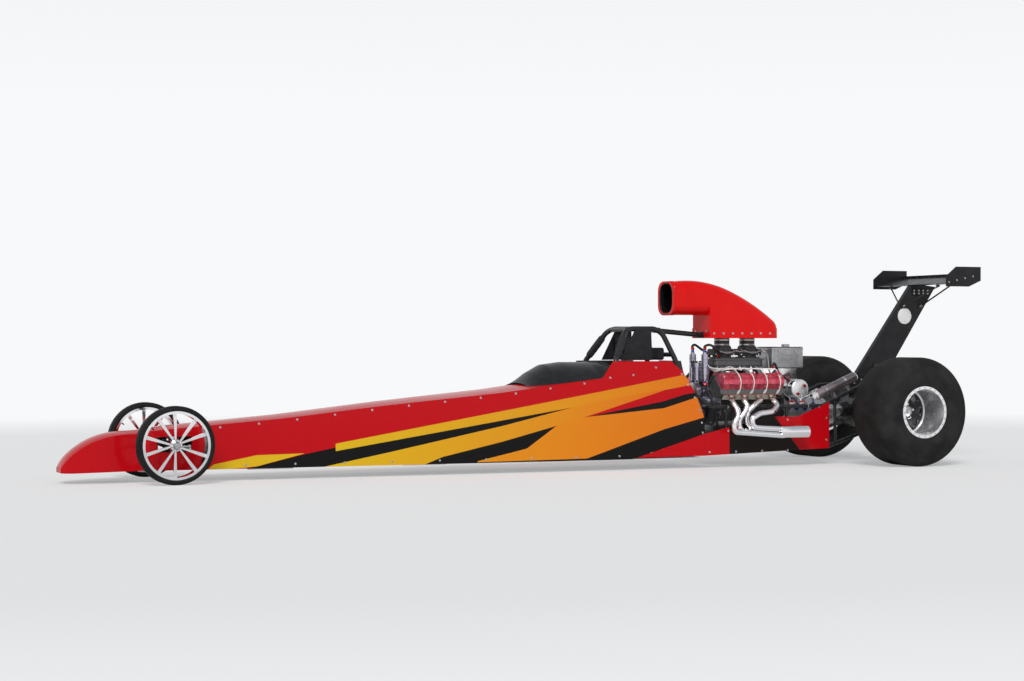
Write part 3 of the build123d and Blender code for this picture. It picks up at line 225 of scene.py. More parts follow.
# what a plain finish has unless its own set says otherwise: a cloud of noise blends its two colours
plainStart = {"metal": 0.0, "shine": 0.4, "coat": 0.0, "coatRough": 0.05, "bump": 0.1, "bumpDepth": 0.0005}
plainSets = {
    "satinBlack": {"colours": ((0.010, 0.010, 0.011), (0.02, 0.02, 0.022)), "scale": 18, "rough": (0.32, 0.44),
                   "shine": 0.16, "coat": 0.12, "coatRough": 0.2, "bump": 0.05},
    "tubeBlack": {"colours": ((0.012, 0.012, 0.013), (0.024, 0.024, 0.026)), "scale": 30, "rough": (0.22, 0.34),
                  "shine": 0.2, "coat": 0.3, "bump": 0.05},
    "wingBlack": {"colours": ((0.012, 0.012, 0.013), (0.022, 0.022, 0.024)), "scale": 9, "rough": (0.34, 0.46),
                  "shine": 0.14, "coat": 0.08, "coatRough": 0.2, "bump": 0.04},
    "castMetal": {"colours": ((0.34, 0.34, 0.35), (0.48, 0.48, 0.49)), "scale": 160, "rough": (0.42, 0.6),
                  "metal": 0.9, "bump": 0.35, "bumpDepth": 0.0006},
    "machined": {"colours": ((0.52, 0.52, 0.53), (0.68, 0.68, 0.69)), "scale": 30, "rough": (0.24, 0.38),
                 "metal": 1.0, "bump": 0.06, "stretch": (1, 1, 12)},
    "engineDark": {"colours": ((0.018, 0.018, 0.02), (0.05, 0.048, 0.046)), "scale": 70, "rough": (0.4, 0.6),
                   "bump": 0.3},
    "coverRed": {"colours": ((0.52, 0.03, 0.06), (0.74, 0.12, 0.18)), "scale": 22, "rough": (0.2, 0.32),
                 "metal": 0.5, "coat": 0.5, "bump": 0.06},
    "webbing": {"colours": ((0.020, 0.020, 0.022), (0.05, 0.05, 0.054)), "scale": 500, "rough": (0.6, 0.8),
                "stretch": (1, 0.2, 1), "shine": 0.25, "bump": 0.5, "bumpDepth": 0.0004},
    "bottleGrey": {"colours": ((0.16, 0.15, 0.155), (0.42, 0.30, 0.32)), "scale": 5, "rough": (0.24, 0.38),
                   "metal": 0.7, "bump": 0.03},
    "leadWhite": {"colours": ((0.78, 0.78, 0.76), (0.86, 0.86, 0.84)), "scale": 60, "rough": (0.35, 0.5),
                  "bump": 0.05},
    "hoseBlack": {"colours": ((0.012, 0.012, 0.013), (0.03, 0.03, 0.031)), "scale": 300, "rough": (0.5, 0.7),
                  "shine": 0.3, "bump": 0.3, "bumpDepth": 0.0004},
    "braid": {"colours": ((0.16, 0.16, 0.17), (0.5, 0.5, 0.52)), "scale": 900, "rough": (0.3, 0.45),
              "metal": 0.9, "bump": 0.6},
    "fittingBlue": {"colours": ((0.015, 0.06, 0.30), (0.03, 0.10, 0.42)), "scale": 40, "rough": (0.2, 0.32),
                    "metal": 0.8, "bump": 0.04},
    "fittingRed": {"colours": ((0.42, 0.015, 0.015), (0.55, 0.03, 0.03)), "scale": 40, "rough": (0.2, 0.32),
                   "metal": 0.8, "bump": 0.04},
    "discWhite": {"colours": ((0.78, 0.78, 0.77), (0.85, 0.85, 0.84)), "scale": 12, "rough": (0.35, 0.5),
                  "bump": 0.03},
    "boxGrey": {"colours": ((0.36, 0.36, 0.37), (0.50, 0.50, 0.51)), "scale": 30, "rough": (0.3, 0.45),
                "metal": 0.9, "bump": 0.06},
    "paleMetal": {"colours": ((0.72, 0.73, 0.74), (0.84, 0.85, 0.86)), "scale": 16, "rough": (0.22, 0.34),
                  "metal": 0.7, "bump": 0.04},
    # castMetal's colours darkened: painted shade for cast parts that lie in shadow, and for small dark marks and
    # grooves
    "castShaded": {"colours": ((0.10, 0.10, 0.105), (0.17, 0.17, 0.175)), "scale": 160, "rough": (0.42, 0.6),
                 "metal": 0.7, "bump": 0.35, "bumpDepth": 0.0006},
    "canister": {"colours": ((0.44, 0.41, 0.52), (0.60, 0.57, 0.66)), "scale": 26, "rough": (0.2, 0.34),
                 "metal": 0.9, "bump": 0.05},
    "steel": {"colours": ((0.36, 0.36, 0.37), (0.52, 0.52, 0.53)), "scale": 40, "rough": (0.26, 0.42),
              "metal": 1.0, "bump": 0.08},
    "chrome": {"colours": ((0.76, 0.76, 0.78), (0.86, 0.86, 0.88)), "scale": 20, "rough": (0.04, 0.1),
               "metal": 1.0, "bump": 0.02},
    "cloth": {"colours": ((0.012, 0.012, 0.014), (0.035, 0.035, 0.04)), "scale": 600, "rough": (0.8, 0.95),
              "bump": 0.4, "bumpDepth": 0.0006},
}


def plainFinish(name, values):
    values = {**plainStart, **values}
    material, tree, shader = startFinish(name)
    grain = noise(tree, values["scale"], 4.0, values.get("stretch"))
    feed(tree, shader, {
        "Base Color": blendColours(tree, spread(tree, grain, 0, 1), *values["colours"]),
        "Roughness": spread(tree, grain, *values["rough"]), "Metallic": values["metal"],
        "Specular IOR Level": values["shine"], "Coat Weight": values["coat"],
        "Coat Roughness": values["coatRough"]})
    bumpFrom(tree, shader, grain, values["bump"], values["bumpDepth"])
    return material


# the gloss of every painted panel comes from a thin coat, so that pale surroundings don't wash its colour out
paintSet = {
    "red": (0.55, 0.003, 0.008),
    "inside": (0.035, 0.035, 0.037),
    "shine": 0.06,
    "coat": 0.16,
    "coatRough": 0.06,
}


def glossPaint(tree, shader, colour, values):
    feed(tree, shader, {
        "Base Color": colour, "Roughness": spread(tree, noise(tree, 3.0), *values["rough"]),
        "Specular IOR Level": values["shine"], "Coat Weight": values["coat"],
        "Coat Roughness": values["coatRough"]})
    bumpFrom(tree, shader, noise(tree, 120.0, 2.0), 0.02, 0.0004)


def facingOut(tree):
    # 1 on faces that look up or away from the car's middle plane, 0 on the panels' insides
    normal = faceWay(tree)
    side = maths(tree, "SIGN", axesOf(tree, rowPlace(tree))[1])
    away = maths(tree, "ADD", product(tree, normal[1], side), normal[2])
    return maths(tree, "GREATER_THAN", away, -0.35)


# body paint: red sides with a black field, yellow and orange bands and a red wedge, each between two lines
# along the car, given as places (x from the rear axle, z)

stripeSet = {
    **paintSet,
    "rough": (0.2, 0.28),
    "yellow": (0.76, 0.50, 0.015),
    "gold": (0.80, 0.30, 0.012),
    "orange": (0.78, 0.17, 0.010),
    "black": (0.006, 0.006, 0.006),
    "edge": 0.0015,
    "reach": (1.5, 6.0),          # the stretch of the car that carries the bands
    # colour at the front end, colour at the rear end, upper line, lower line
    "fields": (
        ("black", "black",
         ((5.52, 0.06), (5.30, 0.10), (4.95, 0.18), (4.71, 0.225), (1.60, 0.70)),
         ((5.52, 0.0), (1.60, 0.0))),
        ("yellow", "yellow",
         ((5.66, 0.085), (5.62, 0.12), (5.30, 0.181), (4.95, 0.187)),
         ((5.66, 0.085), (5.50, 0.085), (5.30, 0.10), (4.95, 0.185))),
        ("yellow", "orange",
         ((4.71, 0.253), (1.60, 0.783)),
         ((4.71, 0.198), (1.60, 0.689))),
        ("yellow", "orange",
         ((4.80, 0.085), (4.27, 0.187), (3.39, 0.365), (2.72, 0.520), (2.03, 0.630)),
         ((4.80, 0.077), (4.04, 0.077), (3.88, 0.138), (3.39, 0.246), (2.72, 0.416), (2.03, 0.618))),
        ("gold", "orange",
         ((3.60, 0.100), (3.20, 0.187), (2.95, 0.360), (2.72, 0.420), (2.03, 0.480), (1.60, 0.600)),
         ((3.60, 0.092), (2.70, 0.100), (2.03, 0.314), (1.60, 0.420))),
        ("red", "red",
         ((2.72, 0.420), (2.03, 0.619), (1.85, 0.651), (1.60, 0.700)),
         ((2.72, 0.418), (2.03, 0.535), (1.85, 0.585), (1.60, 0.620))),
    ),
}


def lineHeight(tree, share, points, reach):
    # the height of a line of straight runs over the place along the car, both within 0 to 1
    curve = addNode(tree, "FloatCurve", {"Value": share})
    low, high = reach
    places = sorted(((x - low) / (high - low), z) for x, z in points)
    marks = curve.mapping.curves[0].points
    while len(marks) < len(places):
        marks.new(0.5, 0.5)
    for mark, (along, height) in zip(marks, places):
        mark.location = (along, height)
        mark.handle_type = "VECTOR"
    curve.mapping.update()
    return curve.outputs[0]


def bodyPaint(values):
    material, tree, shader = startFinish("bodyPaint")
    x, _, z = axesOf(tree, rowPlace(tree))
    reach, edge = values["reach"], values["edge"]
    share = spread(tree, x, 0, 1, reach[0] + axleX, reach[1] + axleX)
    colour = values["red"]
    for front, rear, upper, lower in values["fields"]:
        frontEnd, rearEnd = upper[0][0] + axleX, upper[-1][0] + axleX
        under = maths(tree, "SUBTRACT", lineHeight(tree, share, upper, reach), z)
        over = maths(tree, "SUBTRACT", z, lineHeight(tree, share, lower, reach))
        mask = product(tree, past(tree, under, 0, edge), past(tree, over, 0, edge),
                       past(tree, x, frontEnd, edge, 1, 0), past(tree, x, rearEnd, edge))
        shade = values[front]
        if front != rear:
            shade = blendColours(tree, spread(tree, x, 1, 0, rearEnd, frontEnd), values[front], values[rear])
        colour = blendColours(tree, mask, colour, shade)
    glossPaint(tree, shader, blendColours(tree, facingOut(tree), values["inside"], colour), values)
    return material


lowPanelSet = {
    **paintSet,
    "rough": (0.2, 0.3),
    # painted shadow: the dark maroon of the red panel where the headers shade it
    "dark": (0.012, 0.007, 0.006),
    "front": 1.44,                    # the red ahead of this place, and behind the slanted line
    "lineTop": (1.014, 0.39),
    "lineFoot": (0.85, 0.20),
    "edge": 0.002,
}


def lowPanelPaint(values):
    # red at both ends and painted shadow of the headers between them: behind the line from its top to its foot the
    # panel is red again
    material, tree, shader = startFinish("lowPanelPaint")
    x, _, z = axesOf(tree, rowPlace(tree))
    topX, topZ = values["lineTop"]
    footX, footZ = values["lineFoot"]
    slant = (topX - footX) / (topZ - footZ)
    line = maths(tree, "ADD", product(tree, z, slant), footX + axleX - footZ * slant)
    edge = values["edge"]
    # the mask of the painted shadow between the red ends
    mask = product(tree, past(tree, x, values["front"] + axleX, edge, 1, 0),
                   past(tree, maths(tree, "SUBTRACT", x, line), 0, edge))
    colour = blendColours(tree, mask, values["red"], values["dark"])
    glossPaint(tree, shader, blendColours(tree, facingOut(tree), values["inside"], colour), values)
    return material


scoopSet = {
    **paintSet,
    "rough": (0.2, 0.26),
    "coatRough": 0.05,
    "red": (0.74, 0.005, 0.005),
    "deep": (0.80, 0.008, 0.008),
    # the painted shade inside the duct
    "inside": (0.010, 0.008, 0.008),
    "mouthX": 1.50,                   # ahead of this place the duct's inside carries painted shade
    "mouthZ": 1.3512,
}


def scoopPaint(values):
    # gloss red outside, and painted shade where a face of the duct looks at the duct's middle line
    material, tree, shader = startFinish("scoopPaint")
    x, y, z = axesOf(tree, rowPlace(tree))
    normal = faceWay(tree)
    above = maths(tree, "SUBTRACT", z, values["mouthZ"])
    away = maths(tree, "ADD", product(tree, y, normal[1]), product(tree, above, normal[2]))
    # where the painted shade goes: faces inside the duct, ahead of the mouth's place
    inside = product(tree, maths(tree, "LESS_THAN", away, -0.004),
                     maths(tree, "GREATER_THAN", x, values["mouthX"] + axleX))
    red = blendColours(tree, spread(tree, noise(tree, 6.0), 0, 1), values["red"], values["deep"])
    glossPaint(tree, shader, blendColours(tree, inside, red, values["inside"]), values)
    return material


rearWheelSet = {
    "bright": (0.88, 0.88, 0.89),
    "dark": (0.026, 0.026, 0.028),
    "discReach": (0.640, 0.700),      # how far out across the car the dark centre lies
    "discRadius": 0.176,
    "lineRate": 2600.0,
}


def rearWheelMetal(values):
    # a polished barrel with fine turning lines, and a dark satin centre
    material, tree, shader = startFinish("rearWheelMetal")
    moved = vectors(tree, "SUBTRACT", rowPlace(tree), rearAxle)[0]
    across = maths(tree, "ABSOLUTE", axesOf(tree, moved)[1])
    low, high = values["discReach"]
    mask = product(tree, maths(tree, "GREATER_THAN", across, low), maths(tree, "LESS_THAN", across, high),
                   maths(tree, "LESS_THAN", lengthOf(tree, moved), values["discRadius"]))
    feed(tree, shader, {
        "Base Color": blendColours(tree, mask, values["bright"], values["dark"]),
        "Metallic": maths(tree, "SUBTRACT", 0.8, product(tree, mask, 0.4)),
        "Roughness": maths(tree, "ADD", spread(tree, noise(tree, 20.0), 0.18, 0.28), product(tree, mask, 0.14))})
    bumpFrom(tree, shader, maths(tree, "SINE", product(tree, across, values["lineRate"])), 0.05, 0.0003)
    return material


tankSet = {
    "bright": (0.76, 0.76, 0.77),
    "dull": (0.46, 0.46, 0.47),
    "shade": (0.12, 0.12, 0.125),
    "split": 0.78,                    # the height over which the metal is the dull sheet of the box
}


def tankMetal(values):
    material, tree, shader = startFinish("tankMetal")
    over = maths(tree, "GREATER_THAN", axesOf(tree, rowPlace(tree))[2], values["split"])
    cloud = noise(tree, 24.0, 5.0)
    colour = blendColours(tree, over, values["bright"], values["dull"])
    feed(tree, shader, {
        "Base Color": blendColours(tree, spread(tree, cloud, 0, 0.35), colour, values["shade"]),
        "Roughness": maths(tree, "ADD", spread(tree, cloud, 0.10, 0.2), product(tree, over, 0.22)),
        "Metallic": 1.0})
    bumpFrom(tree, shader, cloud, 0.04, 0.0005)
    return material


headerSet = {
    "plate": (0.82, 0.82, 0.84),
    "straw": (0.72, 0.60, 0.42),
    "heatHeights": (0.5, 0.62),       # the tint begins and is full at these heights
}


def headerChrome(values):
    # bright plate with a straw heat tint near the ports
    material, tree, shader = startFinish("headerChrome")
    height = maths(tree, "ADD", axesOf(tree, rowPlace(tree))[2], product(tree, noise(tree, 25.0), 0.05))
    heat = spread(tree, height, 0, 1, *values["heatHeights"])
    feed(tree, shader, {
        "Base Color": blendColours(tree, heat, values["plate"], values["straw"]),
        "Roughness": spread(tree, noise(tree, 18.0), 0.05, 0.12), "Metallic": 1.0})
    bumpFrom(tree, shader, noise(tree, 12.0), 0.03, 0.001)
    return material


tyreSets = {
    "slick": {"centre": rearAxle, "ringRate": 420.0, "ringShare": 0.25, "dark": (0.012, 0.012, 0.012),
              "dusty": (0.035, 0.034, 0.033), "rough": (0.7, 0.92)},
    "frontTyre": {"centre": frontAxle, "ringRate": 900.0, "ringShare": 0.3, "dark": (0.010, 0.010, 0.010),
                  "dusty": (0.022, 0.022, 0.022), "rough": (0.55, 0.8)},
}


def tyreRubber(name, values):
    # rings round the axle on the sidewall, fine grain, dusty patches
    material, tree, shader = startFinish(name)
    radius = lengthOf(tree, vectors(tree, "SUBTRACT", rowPlace(tree), values["centre"])[0])
    rings = maths(tree, "SINE", product(tree, radius, values["ringRate"]))
    dust = noise(tree, 7.0, 5.0)
    feed(tree, shader, {
        "Base Color": blendColours(tree, spread(tree, dust, 0, 1, 0.35, 0.75), values["dark"], values["dusty"]),
        "Roughness": spread(tree, dust, *values["rough"]), "Specular IOR Level": 0.14})
    height = maths(tree, "ADD", product(tree, rings, values["ringShare"]), noise(tree, 220.0, 2.0))
    bumpFrom(tree, shader, height, 0.35, 0.0008)
    return material


finishes = {name: plainFinish(name, values) for name, values in plainSets.items()}
finishes.update({name: tyreRubber(name, values) for name, values in tyreSets.items()})
finishes.update({
    "bodyPaint": bodyPaint(stripeSet), "lowPanelPaint": lowPanelPaint(lowPanelSet),
    "scoopPaint": scoopPaint(scoopSet), "rearWheelMetal": rearWheelMetal(rearWheelSet),
    "tankMetal": tankMetal(tankSet), "headerChrome": headerChrome(headerSet)})

nodeFinish = {
    "bodyPaint": "nose_cone hood_panel body_side_left body_side_right",
    "lowPanelPaint": "rear_side_panels",
    "rearWheelMetal": "rear_wheels",
    "scoopPaint": "air_scoop",
    "satinBlack": "cockpit_cowl head_shroud",
    "tubeBlack": "roll_cage steering_yoke frame_rails axle_housing front_axle",
    "wingBlack": "wing_strut wing_plane wing_end_plates",
    "machined": "belly_pan oil_pan brake_calipers",
    "engineDark": "engine_block carburettors",
    "castMetal": "bellhousing gearbox",
    # painted shade: these cast parts get the darkened copy of the cast metal because they lie in shadow
    "castShaded": "cylinder_heads intake_manifold firewall motor_plates",
    "bottleGrey": "air_bottle",
    "coverRed": "valve_covers",
    "canister": "pulley_drive",
    "headerChrome": "headers_left headers_right",
    "tankMetal": "catch_tank",
    "chrome": "front_wheel_left front_wheel_right",
    "steel": "knuckle_left knuckle_right tie_rod rear_axle",
    "slick": "rear_tyres",
    "frontTyre": "front_tyre_left front_tyre_right",
    "cloth": "seat parachute_pack",
}
for finish, names in nodeFinish.items():
    for name in names.split():
        mesh = nodes[name].data
        mesh.materials.clear()
        mesh.materials.append(finishes[finish])
print("finishes made:", len(finishes))


# helpers for new pieces: places are given from the rear axle line in metres, like (x, y, z)

forward, leftward, upward = np.eye(3)
acrossCar = 1      # the number of the axis that the wheels turn on


def at(points):
    return np.asarray(points, float) + (axleX, 0.0, 0.0)


def unit(ways):
    return ways / np.maximum(np.linalg.norm(ways, axis=-1, keepdims=True), 1e-9)


def fullTurn(count):
    return np.linspace(0, 2 * np.pi, count, endpoint=False)


def circle(axis, centre, radius, count, turn=0.0):
    # places on a circle round one axis through the centre: the cosine of the turn on the first other axis, the sine
    # on the second. With them comes the way out at each.
    angle = fullTurn(count) + turn
    ways = np.insert(np.column_stack([np.cos(angle), np.sin(angle)]), axis, 0.0, axis=1)
    return centre + np.asarray(radius) * ways, ways


def framesOf(directions):
    # two directions square to each given one: its cross with the axis that it leans to least, and the cross of both
    along = unit(np.asarray(directions, float))
    least = np.eye(3)[np.argmin(np.abs(along), axis=-1)]
    side = unit(np.cross(least, along))
    return side, np.cross(along, side), along


def gridFaces(rows, columns):
    # four-sided faces between rings of points, each ring closed on itself
    row, column = np.meshgrid(np.arange(rows - 1), np.arange(columns), indexing="ij")
    ahead = (column + 1) % columns
    corners = (row * columns + column, row * columns + ahead, (row + 1) * columns + ahead, (row + 1) * columns + column)
    return np.stack(corners, -1).reshape(-1, 4)


def ringBody(rings):
    # a closed form from rings of points (rows, columns, 3): faces between rings, and a cap on each end
    rows, columns = rings.shape[:2]
    last = (rows - 1) * columns
    faces = gridFaces(rows, columns).tolist()
    faces += [list(range(columns))[::-1], list(range(last, last + columns))]
    return rings.reshape(-1, 3), faces


def listed(bodies):
    return bodies if isinstance(bodies, list) else [bodies]


def joined(bodies):
    points, faces, count = [], [], 0
    for body, sides in listed(bodies):
        points.append(body)
        faces += [[corner + count for corner in side] for side in sides]
        count += len(body)
    return np.concatenate(points), faces


def flipped(body):
    points, faces = body
    return points * (1, -1, 1), [side[::-1] for side in faces]


def bothSides(bodies):
    return listed(bodies) + [flipped(body) for body in listed(bodies)]


def lathe(profile, sides):
    # a profile of (radius, height) turned round the z axis
    radius, height = np.asarray(profile, float).T[:, :, None]
    angle = fullTurn(sides)
    return ringBody(np.stack([radius * np.cos(angle), radius * np.sin(angle), height + 0 * angle], -1))


def stamped(body, places, ways):
    # copies of one body, its z axis turned to each way, moved to each place
    points, faces = body
    places = np.atleast_2d(np.asarray(places, float))
    side, across, along = framesOf(np.broadcast_to(np.asarray(ways, float), places.shape))
    copies = (points[None, :, 0:1] * side[:, None] + points[None, :, 1:2] * across[:, None]
              + points[None, :, 2:3] * along[:, None] + places[:, None])
    return joined([(copy, faces) for copy in copies])


def turned(profile, sides, places, ways):
    return stamped(lathe(profile, sides), places, ways)


def band(radius, half, rise, sides, places, ways, bevel=0.0005):
    # a hoop round a tube: it stands out by its rise, and its edges slope over the bevel
    outer, flat = radius + rise, half - bevel
    return turned([(radius, -half), (outer, -flat), (outer, flat), (radius, half)], sides, places, ways)


def bolts(radius, places, ways, height=None):
    # each a round washer under a six-sided head with a bevelled top
    height = height or radius * 1.1
    washer = lathe([(radius * 1.35, 0), (radius * 1.35, height * 0.16), (radius * 1.3, height * 0.2)], 14)
    head = lathe([(radius, height * 0.1), (radius, height * 0.85), (radius * 0.82, height)], 6)
    return stamped(joined([washer, head]), places, ways)


def rivets(radius, height, places, ways):
    # domes: the height falls with the square of the distance from the middle
    share = np.linspace(1, 0.15, 5)
    return turned(np.column_stack([radius * share, height * (1 - share ** 2) + height * 0.1]), 10, places, ways)


def tube(path, radius, sides):
    # a circle carried along a path: its frame is the cross of the path's run with one fixed direction
    path = np.asarray(path, float)
    run = unit(np.gradient(path, axis=0))
    side = unit(np.cross(np.eye(3)[np.argmin(np.abs(run).max(axis=0))], run))
    across = np.cross(run, side)
    angle = fullTurn(sides)[None, :, None]
    reach = np.broadcast_to(np.asarray(radius, float), len(path))[:, None, None]
    return ringBody(path[:, None] + reach * (np.cos(angle) * side[:, None] + np.sin(angle) * across[:, None]))


def rod(start, end, radius, sides, steps=4):
    return tube(np.linspace(start, end, steps), radius, sides)


def smooth(points, steps=8):
    # a path through the points: between two of them, the cubic whose slopes follow the points either side
    points = np.asarray(points, float)
    padded = np.concatenate([2 * points[:1] - points[1:2], points, 2 * points[-1:] - points[-2:-1]])[:, None]
    before, first, second, after = padded[:-3], padded[1:-2], padded[2:-1], padded[3:]
    t = np.linspace(0, 1, steps, endpoint=False)[None, :, None]
    path = 0.5 * (2 * first + (second - before) * t + (2 * before - 5 * first + 4 * second - after) * t ** 2
                  + (3 * first - before - 3 * second + after) * t ** 3)
    return np.concatenate([path.reshape(-1, 3), points[-1:]])


def line(points, radius, sides=8, steps=8):
    return tube(smooth(points, steps), radius, sides)


def strip(path, outline, face):
    # an outline of (across, out) points carried along a path, out being the given face direction squared to the run
    path = np.asarray(path, float)
    run = unit(np.gradient(path, axis=0))
    across = unit(np.cross(run, np.broadcast_to(np.asarray(face, float), path.shape)))
    out = np.cross(across, run)
    wide, high = np.asarray(outline, float).T[:, None, :, None]
    return ringBody(path[:, None] + wide * across[:, None] + high * out[:, None])


def roundedOutline(width, height, corner):
    # a rectangle with quarter-circle corners of four points each
    angle = np.linspace(0, np.pi / 2, 4)[None, :] + np.arange(4)[:, None] * np.pi / 2
    centre = np.array([(1, 1), (-1, 1), (-1, -1), (1, -1)]) * (width / 2 - corner, height / 2 - corner)
    return np.stack([centre[:, :1] + corner * np.cos(angle), centre[:, 1:] + corner * np.sin(angle)], -1).reshape(-1, 2)


def block(centre, size, corner=0.003):
    # a rounded rectangle carried upwards, drawn in a little at its top and bottom
    width, depth, height = size
    rings = []
    for inset, level in ((corner, 0), (0, corner), (0, height - corner), (corner, height)):
        outline = roundedOutline(width - 2 * inset, depth - 2 * inset, corner)
        rings.append(np.column_stack([outline, np.full(len(outline), level - height / 2)]))
    points, faces = ringBody(np.array(rings))
    return points + np.asarray(centre, float), faces


# the slot that put() looks up for a new piece in each finish, unless it is told another
slotOf = {
    "steel": "steel", "machined": "machined", "chrome": "chrome", "braid": "steel", "castShaded": "steel",
    "leadWhite": "machined", "discWhite": "machined", "boxGrey": "machined", "paleMetal": "polished_rim",
    "hoseBlack": "black_panel", "satinBlack": "black_panel", "tubeBlack": "black_tube", "wingBlack": "black_wing",
    "coverRed": "cover_red", "fittingRed": "cover_red", "fittingBlue": "purple_metal", "bodyPaint": "red_paint",
    "slick": "slick_rubber", "frontTyre": "front_rubber", "cloth": "seat_cloth", "webbing": "seat_cloth",
}


def put(name, bodies, finish, slot=None, body="chassis", sharp=35):
    slot = slot or slotOf[finish]
    points, faces = joined(bodies)
    mesh = bpy.data.meshes.new(name)
    mesh.from_pydata(at(points).tolist(), [], faces)
    mesh.shade_smooth()
    mesh.set_sharp_from_angle(angle=math.radians(sharp))
    mesh.materials.append(finishes[finish])
    piece = addObject(name, mesh)
    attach(piece, body)
    return piece


def pair(name, bodies, finish, **settings):
    # a piece given on the left side, with its mirror copy on the right
    return put(name, bothSides(bodies), finish, **settings)


# engine

crankZ = 0.430
lean = math.sin(math.radians(45))
bankUp = (0, lean, lean)
bankOut = (0, lean, -lean)
frontFace = 1.5054      # the front of the motor plate


def bank(x, u, v):
    # a point of the left bank: u runs up the bank from the crank, v outwards across it
    return (x, (u + v) * lean, crankZ + (u - v) * lean)


engineSet = {
    "portPlaces": (1.3875, 1.2655, 1.1435, 1.0215),
    "flange": (0.285, 0.1063),         # the header flange, up the bank and across it
    "flangeBolts": (-0.038, 0.038),
    "boltSize": 0.0065,
    "leadRadius": 0.0042,
    "leadStart": (1.557, 0.052, 0.833),
    "leadGap": 0.008,
    "plugStep": 0.045,
    "loomPlaces": (1.41, 1.17),
    "ribPlaces": (-0.026, -0.0155, 0.0155, 0.026),
    "ribRuns": ((0.955, 1.175), (1.235, 1.455)),
    "coverBolts": (0.945, 1.075, 1.335, 1.465),
    "carbPlaces": (1.3225, 1.0865),
    "bowlStep": 0.081,
    "fuelLineRadius": 0.0065,
    "fuelLineY": 0.088,
    "fuelLineZ": 0.927,
    "fuelFeed": ((0.955, 0.112, 0.860), (0.950, 0.130, 0.760), (0.905, 0.160, 0.660), (0.868, 0.205, 0.585),
                 (0.842, 0.258, 0.545), (0.846, 0.280, 0.514)),
}


def headerFasteners(values):
    ports, (up, out) = values["portPlaces"], values["flange"]
    studs = [bank(x + step, up, out) for x in ports for step in values["flangeBolts"]]
    collars = turned([(0.0265, 0), (0.0265, 0.006), (0.0240, 0.008)], 28, [bank(x, up, out) for x in ports], bankOut)
    pair("header_bolts", [bolts(values["boltSize"], studs, bankOut), collars], "steel")


def plugLeads(values):
    # white leads from the magneto, over the valve covers and down to the plugs above the header flange
    leads, plugs = [], []
    for number, x in enumerate(values["portPlaces"]):
        plugX = x - values["plugStep"]
        low = values["leadGap"] * (number - 1.5)
        path = [values["leadStart"], (1.52, 0.10 + low, 0.815), (1.47, 0.165 + low, 0.775 + low),
                bank(plugX + 0.07, 0.455 + abs(low), -0.045 + low), bank(plugX + 0.012, 0.447, 0.0),
                bank(plugX, 0.425, 0.062), bank(plugX, 0.370, 0.098), bank(plugX, 0.330, 0.106)]
        leads.append(line(path, values["leadRadius"]))
        plugs.append(bank(plugX, 0.312, 0.092))
    bootWay = np.subtract(bank(0, 0.362, 0.100), bank(0, 0.312, 0.092))
    boots = turned([(0.006, -0.004), (0.0085, 0.004), (0.0085, 0.034), (0.0055, 0.042)], 12, plugs, bootWay)
    looms = turned([(0.016, 0), (0.016, 0.007)], 14, [bank(x, 0.449, -0.012) for x in values["loomPlaces"]], forward)
    pair("plug_leads", leads, "leadWhite")
    pair("plug_boots", boots, "leadWhite")
    pair("lead_looms", looms, "hoseBlack")


def coverTrim(values):
    # ribs along the flat top of each valve cover, hold-down bolts between them, and small heads round its foot
    rib = roundedOutline(0.0055, 0.005, 0.002)
    ribs = [strip(np.linspace(bank(start, 0.4165, v), bank(end, 0.4165, v), 3), rib, bankUp)
            for v in values["ribPlaces"] for start, end in values["ribRuns"]]
    tops = [bank(x, 0.4152, 0.0) for x in values["coverBolts"]]
    foot = [bank(x, 0.3415, v) for x in np.linspace(0.95, 1.46, 7) for v in (-0.0632, 0.0632)]
    pair("cover_ribs", ribs, "coverRed")
    pair("cover_bolts", [bolts(values["boltSize"], tops, bankUp), rivets(0.0032, 0.003, foot, bankUp)], "chrome")


def fuelSystem(values):
    # braided lines along both sides of the carburettors, with coloured hex fittings at each bowl and a feed from below
    y, z, radius = values["fuelLineY"], values["fuelLineZ"], values["fuelLineRadius"]
    bowls = [x + step for x in values["carbPlaces"] for step in (values["bowlStep"], -values["bowlStep"])]
    lines = []
    for first, second in zip(bowls, bowls[1:]):
        drop = 0.018 if abs(first - second) > 0.1 else 0.006      # a long line sags more than a short one
        lines.append(line([(first, 0.070, z), (first - 0.004, y, z), ((first + second) / 2, y + 0.004, z - drop),
                           (second + 0.004, y, z), (second, 0.070, z)], radius, 10))
    last = bowls[-1]
    lines.append(line([(last, 0.070, z), (last - 0.03, y + 0.01, z - 0.01), *values["fuelFeed"]], radius, 10))
    pair("fuel_lines", lines, "braid")
    pair("fuel_fittings", turned([(0.0085, 0), (0.0095, 0.004), (0.0095, 0.014), (0.0075, 0.018)], 6,
                                 [(x, 0.066, z) for x in bowls], leftward), "fittingBlue")
    pair("fuel_nuts", turned([(0.0105, 0), (0.0105, 0.009)], 6, [(x, 0.0665, z) for x in bowls], leftward),
         "fittingRed")


